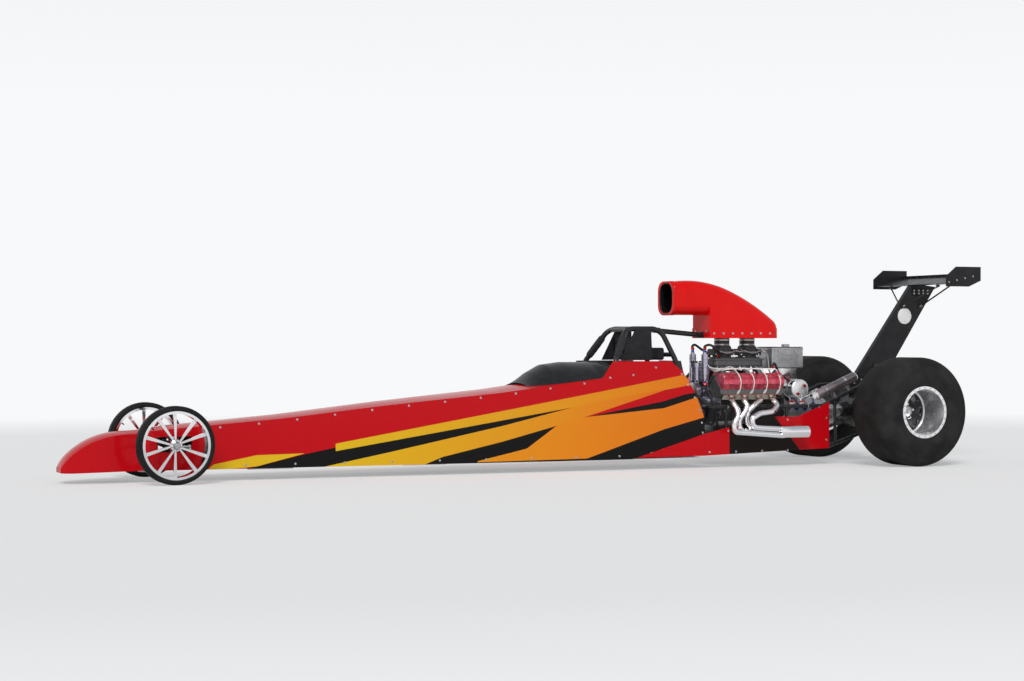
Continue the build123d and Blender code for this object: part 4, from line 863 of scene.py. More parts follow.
def carbDetails(values):
    # studs and air bleed screws on the carburettors, the throttle rod with its ball ends, clamps on the horns
    carbs, step = values["carbPlaces"], values["bowlStep"]
    corners = [(x + dx, 0.066, 0.8774) for x in carbs for dx in (-0.066, 0.066)]
    bleeds = [(x + dx, 0.0502, z) for x in carbs for dx in (-step, step) for z in (0.899, 0.935)]
    levers = [x + dx for x in carbs for dx in (0.03, -0.03)]
    rodLine = rod((levers[0] + 0.02, 0.0845, 0.918), (levers[-1] - 0.02, 0.0845, 0.918), 0.0028, 8, 3)
    balls = turned([(0.003, 0), (0.0055, 0.0025), (0.0055, 0.0065), (0.003, 0.009)], 12,
                   [(x, 0.0798, 0.918) for x in levers], leftward)
    hoops = band(0.0622, 0.006, 0.0018, 40, [(x, 0, z) for x in carbs for z in (0.978, 1.016)], upward)
    screws = turned([(0.004, -0.016), (0.004, 0.016)], 8, [(x, y, 0.978) for x in carbs for y in (0.067, -0.067)],
                    forward)
    pair("carb_studs", [bolts(0.006, corners, upward), bolts(0.004, bleeds, leftward)], "chrome")
    pair("throttle_rod", [rodLine, balls], "steel")
    put("horn_clamps", [hoops, screws], "steel")


def studOf(radius, top, middle, heights):
    # a quarter-turn fastener: a low dish drawn in to its top, with a six-sided middle
    rim, dish, head = heights
    return joined([lathe([(radius, 0), (radius, rim), (top, dish)], 18), lathe([(middle, 0.002), (middle, head)], 6)])


def scoopFasteners():
    # quarter-turn studs round the scoop's skirt
    stud = studOf(0.0095, 0.008, 0.0045, (0.0015, 0.0025, 0.0035))
    sides = [(x, 0.1461, 1.068) for x in np.linspace(0.955, 1.475, 7)]
    pair("scoop_studs", [stamped(stud, sides, leftward), stamped(stud, (1.5161, 0.09, 1.085), forward)], "steel")


driveSet = {
    "pulleys": ((crankZ, 0.060), (0.595, 0.070)),      # height and radius
    "rims": (0.0505, 0.0885),
    "alternator": (0.15, 0.52),                        # y and z
    "pump": (-0.15, 0.52),
    "canister": (1.5374, 0.1),                         # x and y
    "canisterBands": (0.735, 0.800, 0.865),
    "magneto": (1.5574, 0, 0.828),
}


def frontDrive(values):
    # pulley rims and hub bolts, alternator fan and fins, pump fittings, canister bands
    rims, heads = [], []
    for z, radius in values["pulleys"]:
        rims.append(turned([(radius + 0.008, 0), (radius + 0.008, 0.0028), (radius, 0.0035)], 40,
                           [(frontFace + start, 0, z) for start in values["rims"]], forward))
        heads += [bolts(0.005, circle(0, (frontFace + 0.0901, 0, z), 0.036, 6)[0], forward),
                  bolts(0.013, (frontFace + 0.098, 0, z), forward)]
    alternator, pump = values["alternator"], values["pump"]
    rims.append(turned([(0.0445, 0), (0.0455, 0.001), (0.0455, 0.004), (0.0445, 0.005)], 36,
                       [(frontFace + start, *alternator) for start in (0.018, 0.048)], forward))
    heads += [bolts(0.009, [(frontFace + 0.084, *alternator), (frontFace + 0.112, *pump)], forward),
              bolts(0.004, circle(0, (frontFace + 0.088, *pump), 0.047, 8)[0], forward)]
    blades = stamped(block((0, 0, 0), (0.003, 0.012, 0.009), 0.001),
                     *circle(0, (frontFace + 0.0735, *alternator), 0.033, 16))
    x, y = values["canister"]
    ends = turned([(0.010, 0), (0.013, 0.004), (0.013, 0.016), (0.010, 0.020)], 6, [(x, y, 0.915), (x, y, 0.685)],
                  (upward, -upward))
    put("pulley_rims", rims, "machined")
    put("drive_bolts", heads, "steel")
    put("alternator_fan", blades, "machined")
    pair("canister_bands", band(0.0282, 0.005, 0.0013, 32, [(x, y, z) for z in values["canisterBands"]], upward),
         "steel")
    pair("canister_fittings", ends, "fittingBlue")
    put("magneto_towers", turned([(0.0085, 0), (0.0075, 0.014), (0.006, 0.018)], 12,
                                 circle(2, values["magneto"], 0.038, 8, 0.2)[0], upward), "hoseBlack")


# each hose's radius and its path, between the pump, the canisters, the tank and the pan
canisterHose = np.array(((1.537, 0.100, 0.935), (1.537, 0.105, 0.965), (1.500, 0.125, 0.975), (1.440, 0.130, 0.940),
                         (1.400, 0.095, 0.905), (1.395, 0.078, 0.880)))
hoseRuns = (
    (0.012, ((1.560, -0.150, 0.580), (1.570, -0.190, 0.640), (1.545, -0.215, 0.700), (1.420, -0.235, 0.760),
             (1.150, -0.250, 0.770), (0.940, -0.215, 0.740), (0.800, -0.160, 0.700), (0.745, -0.110, 0.672))),
    (0.012, ((1.545, -0.185, 0.475), (1.560, -0.200, 0.400), (1.520, -0.205, 0.300), (1.430, -0.165, 0.240),
             (1.400, -0.140, 0.225))),
    (0.010, canisterHose),
    (0.010, canisterHose * (1, -1, 1)),
    (0.011, ((1.537, 0.100, 0.670), (1.540, 0.120, 0.640), (1.560, 0.180, 0.600), (1.550, 0.235, 0.540),
             (1.530, 0.255, 0.440), (1.500, 0.240, 0.330), (1.440, 0.175, 0.265), (1.410, 0.140, 0.245))),
    (0.009, ((0.997, 0.253, 0.790), (0.990, 0.255, 0.820), (0.950, 0.215, 0.820), (0.870, 0.150, 0.745),
             (0.790, 0.120, 0.700), (0.750, 0.095, 0.685))),
)


def engineHoses(runs):
    hoses, nuts = [], []
    for radius, points in runs:
        hoses.append(line(points, radius, 12))
        nut = [(radius * 1.15, -0.004), (radius * 1.35, 0.002), (radius * 1.35, 0.016), (radius * 1.15, 0.026)]
        nuts.append(turned(nut, 6, [points[0], points[-1]],
                           (np.subtract(points[1], points[0]), np.subtract(points[-2], points[-1]))))
    put("engine_hoses", hoses, "hoseBlack")
    put("hose_fittings", nuts, "fittingRed")


for make in (headerFasteners, plugLeads, coverTrim, fuelSystem, carbDetails):
    make(engineSet)
scoopFasteners()
frontDrive(driveSet)
engineHoses(hoseRuns)
print("engine pieces made")


# wheels and tyres

wheelSet = {
    "frontAxle": np.array((5.960, 0.460, 0.277)),
    "rearAxle": np.array((0.0, 0.728, 0.438)),
    "frontBeads": (0.2475, 0.2525, 0.2645),      # radius of the raised rings on the sidewall
    "rearBeads": (0.216, 0.224, 0.246, 0.372, 0.392, 0.399),
    "spokeSplit": 15.6,                          # degrees from the middle of a pair of spokes to each
    "spokeTip": 0.214,
    "frontStem": (36, 0.223),                    # the valve's turn in degrees and its radius
    "ringBolts": 24,
    "lugNuts": 5,
}


def pointsOf(mesh):
    points = np.empty(len(mesh.vertices) * 3)
    mesh.vertices.foreach_get("co", points)
    return points.reshape(-1, 3)


def outerFace(node, centre, radii):
    # how far out a tyre's wall stands at each radius, read from the node's own outer points
    points = pointsOf(nodes[node].data) - at((0, 0, 0))
    points = points[points[:, 1] > centre[1]]
    radius = np.round(np.hypot(points[:, 0] - centre[0], points[:, 2] - centre[2]), 3)
    steps = np.unique(radius)
    highest = np.full(len(steps), -9.0)
    np.maximum.at(highest, np.searchsorted(steps, radius), points[:, 1])
    return np.interp(radii, steps, highest)


def axleRing(centre, radius, y, thick, sides):
    # a ring of six-sided section round a cross-car axis
    turn = fullTurn(6)[:, None]
    reach, out = radius + thick * np.cos(turn), thick * np.sin(turn)
    angle = fullTurn(sides)
    rings = np.stack([centre[0] + reach * np.cos(angle), y + out + 0 * angle, centre[2] + reach * np.sin(angle)], -1)
    faces = gridFaces(7, sides) % (6 * sides)
    return rings.reshape(-1, 3), faces[:, ::-1].tolist()


def sidewallRings(node, centre, radii, thick, sides):
    # raised rings on the outer wall of a left tyre, and their mirror copies on its inner wall
    outer = [axleRing(centre, radius, y, thick, sides) for radius, y in zip(radii, outerFace(node, centre, radii))]
    return outer + [(points + (0, 2 * centre[1], 0), faces) for points, faces in map(flipped, outer)]


def frontWheels(values):
    x, _, z = centre = values["frontAxle"]
    hub = [turned([(0.0255, 0), (0.0255, 0.007), (0.021, 0.013), (0.009, 0.016)], 32, (x, 0.5022, z), leftward),
           rivets(0.0022, 0.0015, circle(acrossCar, (x, 0.5165, z), 0.0165, 6)[0], leftward),
           bolts(0.0038, circle(acrossCar, (x, 0.4888, z), 0.0362, 10, 0.3)[0], leftward)]
    split = math.radians(values["spokeSplit"])
    tips = np.concatenate([circle(acrossCar, (x, 0.4840, z), values["spokeTip"], 5, turn)[0]
                           for turn in (-split, split)])
    degrees, radius = values["frontStem"]
    stemWay = np.array((math.cos(math.radians(degrees)), 0, math.sin(math.radians(degrees))))
    stem = turned([(0.0055, 0), (0.0042, 0.004), (0.0042, 0.020), (0.005, 0.021), (0.005, 0.031)], 12,
                  (x, 0.474, z) + radius * stemWay, -stemWay)
    kinds = (("front_hub_", hub, "steel", None),
             ("front_spoke_rivets_", [rivets(0.0042, 0.003, tips, leftward)], "chrome", None),
             ("front_valve_", [stem], "hoseBlack", "front_rubber"),
             ("front_tyre_beads_", sidewallRings("front_tyre_left", centre, values["frontBeads"], 0.0011, 96),
              "frontTyre", None))
    for word, body in (("left", "front_wheel_l"), ("right", "front_wheel_r")):
        for name, bodies, finish, slot in kinds:
            put(name + word, bodies if word == "left" else [flipped(item) for item in bodies], finish, slot, body)


def rearWheels(values):
    x, _, z = centre = values["rearAxle"]

    def ring(radius, face, count, turn=0.0):
        return circle(acrossCar, (x, face, z), radius, count, turn)[0]

    lug = joined([lathe([(0.0125, 0), (0.0110, 0.003), (0.0110, 0.018), (0.009, 0.021)], 6),
                  lathe([(0.0135, 0), (0.0135, 0.002)], 20)])
    cap = [(0.042, 0), (0.042, 0.008), (0.034, 0.014), (0.018, 0.016), (0.016, 0.024), (0.010, 0.026)]
    stem = [(0.006, 0), (0.0045, 0.004), (0.0045, 0.03), (0.0055, 0.031), (0.0055, 0.042)]
    ringBolts = bolts(0.0046, ring(0.1965, 0.9381, values["ringBolts"]), leftward, 0.005)
    for name, bodies, finish, slot in (
            ("rim_ring_bolts", ringBolts, "steel", None),
            ("lug_nuts", stamped(lug, ring(0.0580, 0.6763, values["lugNuts"], 0.4), leftward), "chrome", "steel"),
            ("rear_hub_caps", turned(cap, 36, (x, 0.6963, z), leftward), "machined", "steel"),
            ("wheel_centre_screws", rivets(0.005, 0.003, ring(0.150, 0.6643, 16, 0.196), leftward), "steel", None),
            ("rear_valves", turned(stem, 12, (0.13, 0.905, z + 0.131), (-0.7, 0.05, -0.7)), "steel", None),
            ("slick_beads", sidewallRings("rear_tyres", centre, values["rearBeads"], 0.0015, 120), "slick", None)):
        pair(name, bodies, finish, slot=slot, body="rear_wheel_set")


frontWheels(wheelSet)
rearWheels(wheelSet)
print("wheel pieces made")


# rear wing and pylon

wingSet = {
    "root": (-0.500, 1.485),
    "chord": 0.330,
    "angle": 12.0,
    "half": 0.5258,
    "endPlateBolts": ((-0.53, 1.496), (-0.61, 1.512), (-0.69, 1.529), (-0.77, 1.546)),
    "stays": ((-0.43, 0.16), (-0.60, 0.72)),       # x of the foot, and the share of the chord at the tip
    "stayFootZ": 1.300,
    "stayTipY": 0.34,
    "stayNut": ((0.0105, -0.004), (0.0105, 0.010), (0.008, 0.026)),
    "pylonHalf": 0.022,
    "pylonEdges": (((0.080, 0.656), (-0.500, 1.458), 0.016), ((-0.200, 0.656), (-0.728, 1.450), -0.016)),
    "disc": (-0.4435, 1.2198),
    "discRadius": 0.068,
    "plates": ((-0.035, 0.668, 0.250, 0.062), (-0.605, 1.425, 0.170, 0.050)),      # x, z, width, height
    "braces": (((-0.150, 0.0285, 0.800), (0.03, 0.285, 0.652)), ((-0.270, 0.0285, 0.830), (-0.085, 0.283, 0.612))),
    "braceNut": ((0.015, -0.006), (0.015, 0.012), (0.0115, 0.030)),
}


def wingPoint(values, share, above=0.0):
    turn = math.radians(values["angle"])
    x, z = values["root"]
    return (x - share * values["chord"] * math.cos(turn) + above * math.sin(turn),
            z + share * values["chord"] * math.sin(turn) + above * math.cos(turn))


def wingTrim(values):
    half = values["half"]
    x, z = wingPoint(values, 0.985)
    turn = math.radians(values["angle"])
    up = (math.sin(turn), 0, math.cos(turn))

    def edgeStrip(ahead, above, width, height, corner):
        path = np.linspace((x + ahead, -half, z + above), (x + ahead, half, z + above), 3)
        return strip(path, roundedOutline(width, height, corner), up)

    put("wing_lip", [edgeStrip(0, 0.012, 0.0022, 0.026, 0.001), edgeStrip(0.009, 0.0022, 0.018, 0.0018, 0.0008)],
        "wingBlack")
    screws = [(x + 0.010, y, z + 0.0030) for y in np.linspace(-half + 0.03, half - 0.03, 12)]
    put("wing_lip_screws", rivets(0.0038, 0.0025, screws, up), "steel")
    pair("end_plate_bolts", bolts(0.006, [(px, 0.5301, pz) for px, pz in values["endPlateBolts"]], leftward), "steel")
    rods, feet, ends = [], [], []
    for footX, share in values["stays"]:
        tipX, tipZ = wingPoint(values, share, -0.6 * 0.034)
        tip, foot = (tipX, values["stayTipY"], tipZ - 0.010), (footX, 0.0225, values["stayFootZ"])
        way = np.subtract(tip, foot)
        rods.append(rod(foot, tip, 0.0065, 12))
        ends.append(turned(values["stayNut"], 6, [foot, tip], (way, -way)))
        feet += [block((tipX, values["stayTipY"], tipZ - 0.006), (0.030, 0.022, 0.016)),
                 block((footX, 0.0255, values["stayFootZ"]), (0.036, 0.008, 0.030), 0.002)]
    pair("wing_stays", rods + feet, "tubeBlack")
    pair("wing_stay_ends", ends, "steel")


def pylonTrim(values):
    face = values["pylonHalf"]
    rows = [(x0 + (x1 - x0) * share - inset, face + 0.0001, z0 + (z1 - z0) * share)
            for (x0, z0), (x1, z1), inset in values["pylonEdges"] for share in np.linspace(0.02, 0.98, 22)]
    pair("pylon_rivets", rivets(0.0042, 0.0022, rows, leftward), "wingBlack")
    x, z = values["disc"]
    radius = values["discRadius"]
    pair("pylon_disc", turned([(radius, 0), (radius, 0.0008), (radius - 0.001, 0.0012)], 64,
                              (x, face + 0.0001, z), leftward), "discWhite")
    plates = [block((x, face + 0.0035, z), (width, 0.007, height)) for x, z, width, height in values["plates"]]
    places = [(x + dx * width, face + 0.0071, z + dz * height) for x, z, width, height in values["plates"]
              for dx in (-0.4, -0.13, 0.13, 0.4) for dz in (-0.25, 0.25)]
    pair("pylon_plates", plates, "wingBlack")
    pair("pylon_bolts", bolts(0.0065, places, leftward), "steel")
    braces, nuts = [], []
    for start, end in values["braces"]:
        way = np.subtract(end, start)
        braces += [rod(start, end, 0.0095, 14), block((start[0], 0.0255, start[2]), (0.044, 0.008, 0.044), 0.002)]
        nuts.append(turned(values["braceNut"], 6, [start, end], (way, -way)))
    pair("pylon_braces", braces, "tubeBlack")
    pair("pylon_brace_ends", nuts, "steel")


wingTrim(wingSet)
pylonTrim(wingSet)
print("wing pieces made")


# chassis and running gear

railSet = {
    "railY": 0.3108,
    "brakeLine": ((3.35, 0.261, 0.124), (2.57, 0.2985, 0.1255), (2.00, 0.2985, 0.1255), (1.70, 0.2985, 0.1258),
                  (1.10, 0.2985, 0.1445), (0.50, 0.2985, 0.1635), (0.10, 0.2985, 0.294), (0.03, 0.305, 0.325),
                  (-0.04, 0.350, 0.405), (-0.10, 0.389, 0.450)),
    "fuelLine": ((1.55, 0.2955, 0.4930), (1.20, 0.2955, 0.4930), (0.80, 0.2955, 0.4930)),
    "clips": ((1.45, 0.480), (1.00, 0.480), (0.70, 0.480), (2.2, 0.112), (1.95, 0.112)),      # x and z
    "blocks": (0.735, 0.830),
    "gussets": ((1.46, 0.455), (0.90, 0.455), (0.44, 0.510)),
    "gussetHalf": 0.0022,
}


def railFittings(values):
    # brake and fuel lines along the frame with clips, valve blocks, and gusset plates where uprights meet the rails
    y, thin = values["railY"], (0, values["gussetHalf"], 0)
    lines = [line(values["brakeLine"], 0.0032, steps=5), line(values["fuelLine"], 0.0040, steps=5)]
    knobs = turned([(0.008, 0), (0.010, 0.003), (0.010, 0.012), (0.007, 0.015)], 6,
                   [(x + dx, 0.2800, 0.5088) for x in values["blocks"] for dx in (-0.016, 0.016)], upward)
    plates = []
    for x, z in values["gussets"]:
        corners = np.array([(x, y, z - 0.055), (x + 0.05, y, z + 0.02), (x - 0.05, y, z + 0.02)])
        plates.append(ringBody(np.stack([corners + thin, np.subtract(corners, thin)])))
    pair("brake_lines", lines, "steel")
    pair("rail_clips", band(0.0163, 0.005, 0.0015, 20, [(x, y, z) for x, z in values["clips"]], forward), "steel")
    pair("valve_blocks", [block((x, 0.2830, 0.4920), (0.062, 0.034, 0.034)) for x in values["blocks"]], "machined")
    pair("valve_knobs", knobs, "fittingRed")
    pair("rail_gussets", plates, "tubeBlack")


drivelineSet = {
    "couplers": (0.225, 0.330),
    "coverBolts": (0, 0.085, 0.060),      # half width and half height of their oval
    "solenoids": (0.680, 0.600, 0.520),
    "lineEnd": ((0.735, 0.262, 0.535), (0.750, 0.279, 0.512)),
}


def driveline(values):
    # bolts of the gearbox, the bellhousing and the axle's cover, coupler bands, shift solenoids with their lines
    heads = [bolts(0.0055, circle(0, (0.3682, 0, crankZ), 0.088, 12)[0], -forward),
             bolts(0.0075, circle(0, (0.9035, 0, crankZ), 0.190, 14)[0], -forward),
             bolts(0.0065, circle(0, (-0.1445, 0, 0.438), values["coverBolts"], 10)[0], -forward)]
    heads += [bolts(0.006, *circle(0, (x, 0, crankZ), 0.0455, 4, 0.4)) for x in values["couplers"]]
    solenoids, lines = [], []
    for x in values["solenoids"]:
        solenoids += [block((x, 0.108, 0.470), (0.030, 0.020, 0.060), 0.004),
                      rod((x, 0.112, 0.495), (x, 0.112, 0.540), 0.004, 8, 3),
                      turned([(0.011, 0), (0.011, 0.030), (0.008, 0.034)], 16, (x, 0.112, 0.535), upward)]
        lines.append(line([(x, 0.112, 0.568), (x + 0.01, 0.125, 0.60), (x + 0.07, 0.19, 0.575), *values["lineEnd"]],
                          0.003, steps=6))
    put("driveline_bolts", heads, "steel")
    put("coupler_bands", band(0.0455, 0.016, 0.0065, 36, [(x, 0, crankZ) for x in values["couplers"]], forward, 0.003),
        "machined")
    put("shift_solenoids", solenoids, "fittingBlue")
    put("shift_lines", lines, "leadWhite")


tankTrimSet = {
    "middle": (0.706, 0.6122),        # x and z of the round tank's middle line
    "radius": 0.082,
    "strapY": 0.13,
    "ports": ((-0.032, 0.030), (0.030, -0.036)),
    "boxX": 0.775,
    "lidScrews": (0.66, 0.775, 0.89),
    "latches": (0.70, 0.85),
    "louvres": 5,
}


def tankTrim(values):
    # straps and domed ends on the round tank, lid, latches, screws and louvres on the box over it
    (x, z), radius, y, boxX = (values[key] for key in ("middle", "radius", "strapY", "boxX"))
    dome = [(radius * math.cos(t) * 0.999, 0.022 * math.sin(t)) for t in np.linspace(0.05, 1.45, 8)]
    fittings = [bolts(0.006, (x - 0.06, y, z + radius * 0.72), (-0.6, 0, 0.8), 0.02),
                turned([(0.013, 0), (0.013, 0.012), (0.010, 0.018)], 6,
                       [(x + dx, 0.216, z + dz) for dx, dz in values["ports"]], leftward)]
    lid = [block((boxX, 0, 0.9575), (0.296, 0.246, 0.005), 0.002),
           turned([(0.030, 0), (0.034, 0.004), (0.034, 0.018), (0.028, 0.022)], 24, (0.72, 0, 0.9598), upward)]
    sides = [block((boxX, 0.1262, 0.945), (0.292, 0.0024, 0.014), 0.001),
             *(block((px, 0.1280, 0.925), (0.022, 0.006, 0.036), 0.002) for px in values["latches"])]
    louvres = [block((boxX, 0.1258, 0.815 + 0.019 * step), (0.20, 0.0035, 0.007), 0.0015)
               for step in range(values["louvres"])]
    pair("tank_straps", band(radius, 0.012, 0.0022, 48, (x, y, z), leftward), "steel")
    pair("tank_ends", turned(dome, 48, (x, 0.1995, z), leftward), "paleMetal")
    pair("tank_fittings", fittings, "fittingRed")
    put("box_trim", lid + bothSides(sides), "boxGrey")
    pair("box_screws", rivets(0.004, 0.0025, [(px, 0.116, 0.9601) for px in values["lidScrews"]], upward), "steel")
    pair("box_louvres", louvres, "boxGrey")


bottleSet = {
    "ends": ((0.616, 0.3108, 0.565), (0.252, 0.3108, 0.714)),
    "bands": (0.22, 0.72),
    "lineEnd": ((0.69, 0.285, 0.535), (0.719, 0.280, 0.514)),
}


def bottleTrim(values):
    # bands, neck, valve, dial and domed end of the air bottle, and its line to the valve block
    start, end = np.array(values["ends"])
    way = unit(end - start)
    neck = turned([(0.036, 0), (0.026, 0.012), (0.014, 0.018), (0.014, 0.034), (0.009, 0.036)], 28, start, -way)
    valve = turned([(0.010, 0), (0.013, 0.003), (0.013, 0.016), (0.010, 0.019)], 16,
                   start - way * 0.026 + (0, 0, 0.010), (0.35, 0, 0.93))
    dome = turned([(0.0395, 0), (0.036, 0.009), (0.024, 0.016), (0.006, 0.019)], 32, end, way)
    places = [start + (end - start) * share for share in values["bands"]]
    put("bottle_bands", band(0.0400, 0.011, 0.0018, 40, places, way), "steel")
    put("bottle_valve", [neck, valve, dome], "paleMetal")
    put("bottle_dial", turned([(0.016, 0), (0.016, 0.010), (0.014, 0.012)], 28,
                              start - way * 0.03 + (0, 0.010, 0), leftward), "discWhite")
    put("bottle_line", line([start - way * 0.030, start - way * 0.06 + (0, -0.02, 0), *values["lineEnd"]], 0.004,
                            steps=6), "braid")


plateSet = {
    "bolts": ((0.10, 0.615), (0.18, 0.545), (0.275, 0.520), (0.275, 0.440), (0.15, 0.350)),      # y and z
    "faces": ((1.5055, forward), (0.9037, -forward)),
    "discMarks": (0.085, 0.115, 0.138),      # radius of each row of marks, which also sets the row's turn
    "discFace": 0.4361,
}


def plateBolts(values):
    # bolts of the motor plates, marks on the brake discs, and the calipers' caps, grooves and bolts
    plates = [bolts(0.0075, [(x, y, z) for y, z in values["bolts"]], way) for x, way in values["faces"]]
    marks = [turned([(0.0062, 0), (0.0062, 0.0006)], 12,
                    circle(acrossCar, (0, values["discFace"], 0.438), radius, 12, radius * 9)[0], leftward)
             for radius in values["discMarks"]]
    caps = turned([(0.019, 0), (0.019, 0.002), (0.016, 0.0025), (0.014, 0.001), (0.004, 0.001)], 28,
                  [(-0.14, 0.3851, z) for z in (0.411, 0.465)], -leftward)
    bridge = bolts(0.0075, [(-0.1951, y, z) for y in (0.402, 0.458) for z in (0.395, 0.481)], -forward)
    grips = [(x, 0.4752, z) for x in (-0.11, -0.17) for z in (0.398, 0.478)]
    pair("motor_plate_bolts", plates, "steel")
    # the disc marks are painted shade, in the darkened copy of the cast metal
    pair("brake_disc_marks", marks, "castShaded", body="rear_wheel_set")
    pair("caliper_caps", [caps, bridge], "steel")
    # the caliper's groove is a strip of painted shade
    pair("caliper_grooves", block((-0.1955, 0.430, 0.438), (0.002, 0.020, 0.118), 0.0008), "castShaded")
    pair("caliper_bolts", bolts(0.007, grips, leftward), "steel")


def frontEnd():
    # nuts of the steering arms' pins and the kingpins, and sleeves on the tie rod
    pins = [turned([(0.0085, 0), (0.0085, 0.005), (0.007, 0.006)], 6, (5.840, 0.385, 0.2702), upward),
            bolts(0.0045, [(x, 0.385, 0.2702) for x in (5.88, 5.91)], upward)]
    nut = joined([lathe([(0.015, 0), (0.015, 0.002)], 24), lathe([(0.012, 0.002), (0.012, 0.011), (0.010, 0.013)], 6)])
    put("steering_pin_left", pins, "chrome", "steel", "knuckle_l")
    put("steering_pin_right", [flipped(pin) for pin in pins], "chrome", "steel", "knuckle_r")
    pair("kingpin_nuts", stamped(nut, [(5.96, 0.385, z) for z in (0.3232, 0.2308)], (upward, -upward)), "chrome",
         slot="steel")
    pair("tie_rod_sleeves", turned([(0.0102, 0), (0.0128, 0.002), (0.0128, 0.028), (0.0102, 0.034)], 6,
                                   (5.84, 0.352, 0.248), -leftward), "fittingBlue", slot="steel", body="track_rod")


railFittings(railSet)
driveline(drivelineSet)
tankTrim(tankTrimSet)
bottleTrim(bottleSet)
plateBolts(plateSet)
frontEnd()
print("chassis pieces made")


# soft pieces: the parachute bag, the seat and the pads in the roll cage

def cushion(path, face, half, thick, channels=(), pull=0.05, rows=44, sides=28):
    # a rounded section carried along a path. Width and thickness fall to the ends as the fifth root of one less the
    # fifth power of the place, the sides draw in between the ends, and each sewn channel is a narrow bell-shaped dip.
    s = np.sin(np.linspace(-np.pi / 2, np.pi / 2, rows))
    fall = np.maximum(1 - np.abs(s) ** 5, 0.0004) ** 0.2
    dips = 1 - sum((0.42 * np.exp(-((s - mark) / 0.035) ** 2) for mark in channels), np.zeros(rows))
    run = np.concatenate([[0], np.cumsum(np.linalg.norm(np.diff(path, axis=0), axis=1))])
    row = np.column_stack([np.interp((s + 1) / 2 * run[-1], run, column) for column in np.asarray(path, float).T])
    ahead = unit(np.gradient(row, axis=0))
    across = unit(np.cross(ahead, np.asarray(face, float)))
    out = np.cross(across, ahead)
    angle = fullTurn(sides)
    wide = np.sign(np.cos(angle)) * np.abs(np.cos(angle)) ** 0.4
    high = np.sign(np.sin(angle)) * np.abs(np.sin(angle)) ** 0.75
    width = half * (0.9 + 0.1 * fall) * fall ** 0.4 * (1 - pull * (1 - s ** 2))
    return ringBody(row[:, None] + (width[:, None] * wide)[..., None] * across[:, None]
                    + ((thick * fall * dips)[:, None] * high)[..., None] * out[:, None])


def finished(piece):
    return bpy.data.meshes.new_from_object(piece.evaluated_get(bpy.context.evaluated_depsgraph_get()))


def swell(piece, voxel, cap, pressure=4.0):
    # the shape is remeshed, blown up as cloth for 20 frames with no gravity, and no point moves further than the cap
    remesh = piece.modifiers.new("remesh", "REMESH")
    remesh.mode = "VOXEL"
    remesh.voxel_size = voxel
    mesh = finished(piece)
    piece.modifiers.clear()
    piece.data = mesh
    start = pointsOf(mesh)
    cloth = piece.modifiers.new("cloth", "CLOTH")
    cloth.settings.use_pressure = True
    cloth.settings.uniform_pressure_force = pressure
    cloth.settings.effector_weights.gravity = 0.0
    for step in range(1, 21):
        bpy.context.scene.frame_set(step)
    move = pointsOf(finished(piece)) - start
    piece.modifiers.clear()
    bpy.context.scene.frame_set(1)
    move *= np.minimum(1.0, cap / np.maximum(np.linalg.norm(move, axis=1, keepdims=True), 1e-9))
    mesh.vertices.foreach_set("co", (start + move).ravel())
    mesh.shade_smooth()
    mesh.update()
    fine = piece.modifiers.new("fine", "SUBSURF")
    fine.levels = fine.render_levels = 1


def padding(name, bodies, voxel=None, cap=None, slot=None):
    piece = put(name, bodies, "cloth", slot, sharp=180)
    if voxel:
        swell(piece, voxel, cap)
    return piece


def treeOf(piece):
    # a search tree of the finished surface, for pieces that lie on it
    return BVHTree.FromObject(piece, bpy.context.evaluated_depsgraph_get())


def landed(tree, starts, way, lift=0.0):
    # where rays from the starts meet the surface, and the surface's direction there
    places, ways = [], []
    for start in at(starts):
        hit, normal, *_ = tree.ray_cast(Vector(start), Vector(way))
        if hit:
            places.append(np.array(hit) - (axleX, 0, 0) - lift * unit(np.array(way, float)))
            ways.append(np.array(normal) * (-1 if normal.dot(Vector(way)) > 0 else 1))
    return np.array(places), np.array(ways)


bagSet = {
    "centre": (-0.560, 0.0, 0.470),
    "half": (0.138, 0.104, 0.098),
    "webbing": (0.026, 0.0022, 0.001),      # width, thickness and corner
    "strapX": 0.065,
    "strapY": 0.05,
    "cable": ((-0.60, 0.125, 0.545), (-0.42, 0.10, 0.60), (-0.25, 0.06, 0.66), (-0.17, 0.040, 0.70),
              (-0.135, 0.0235, 0.715)),
}


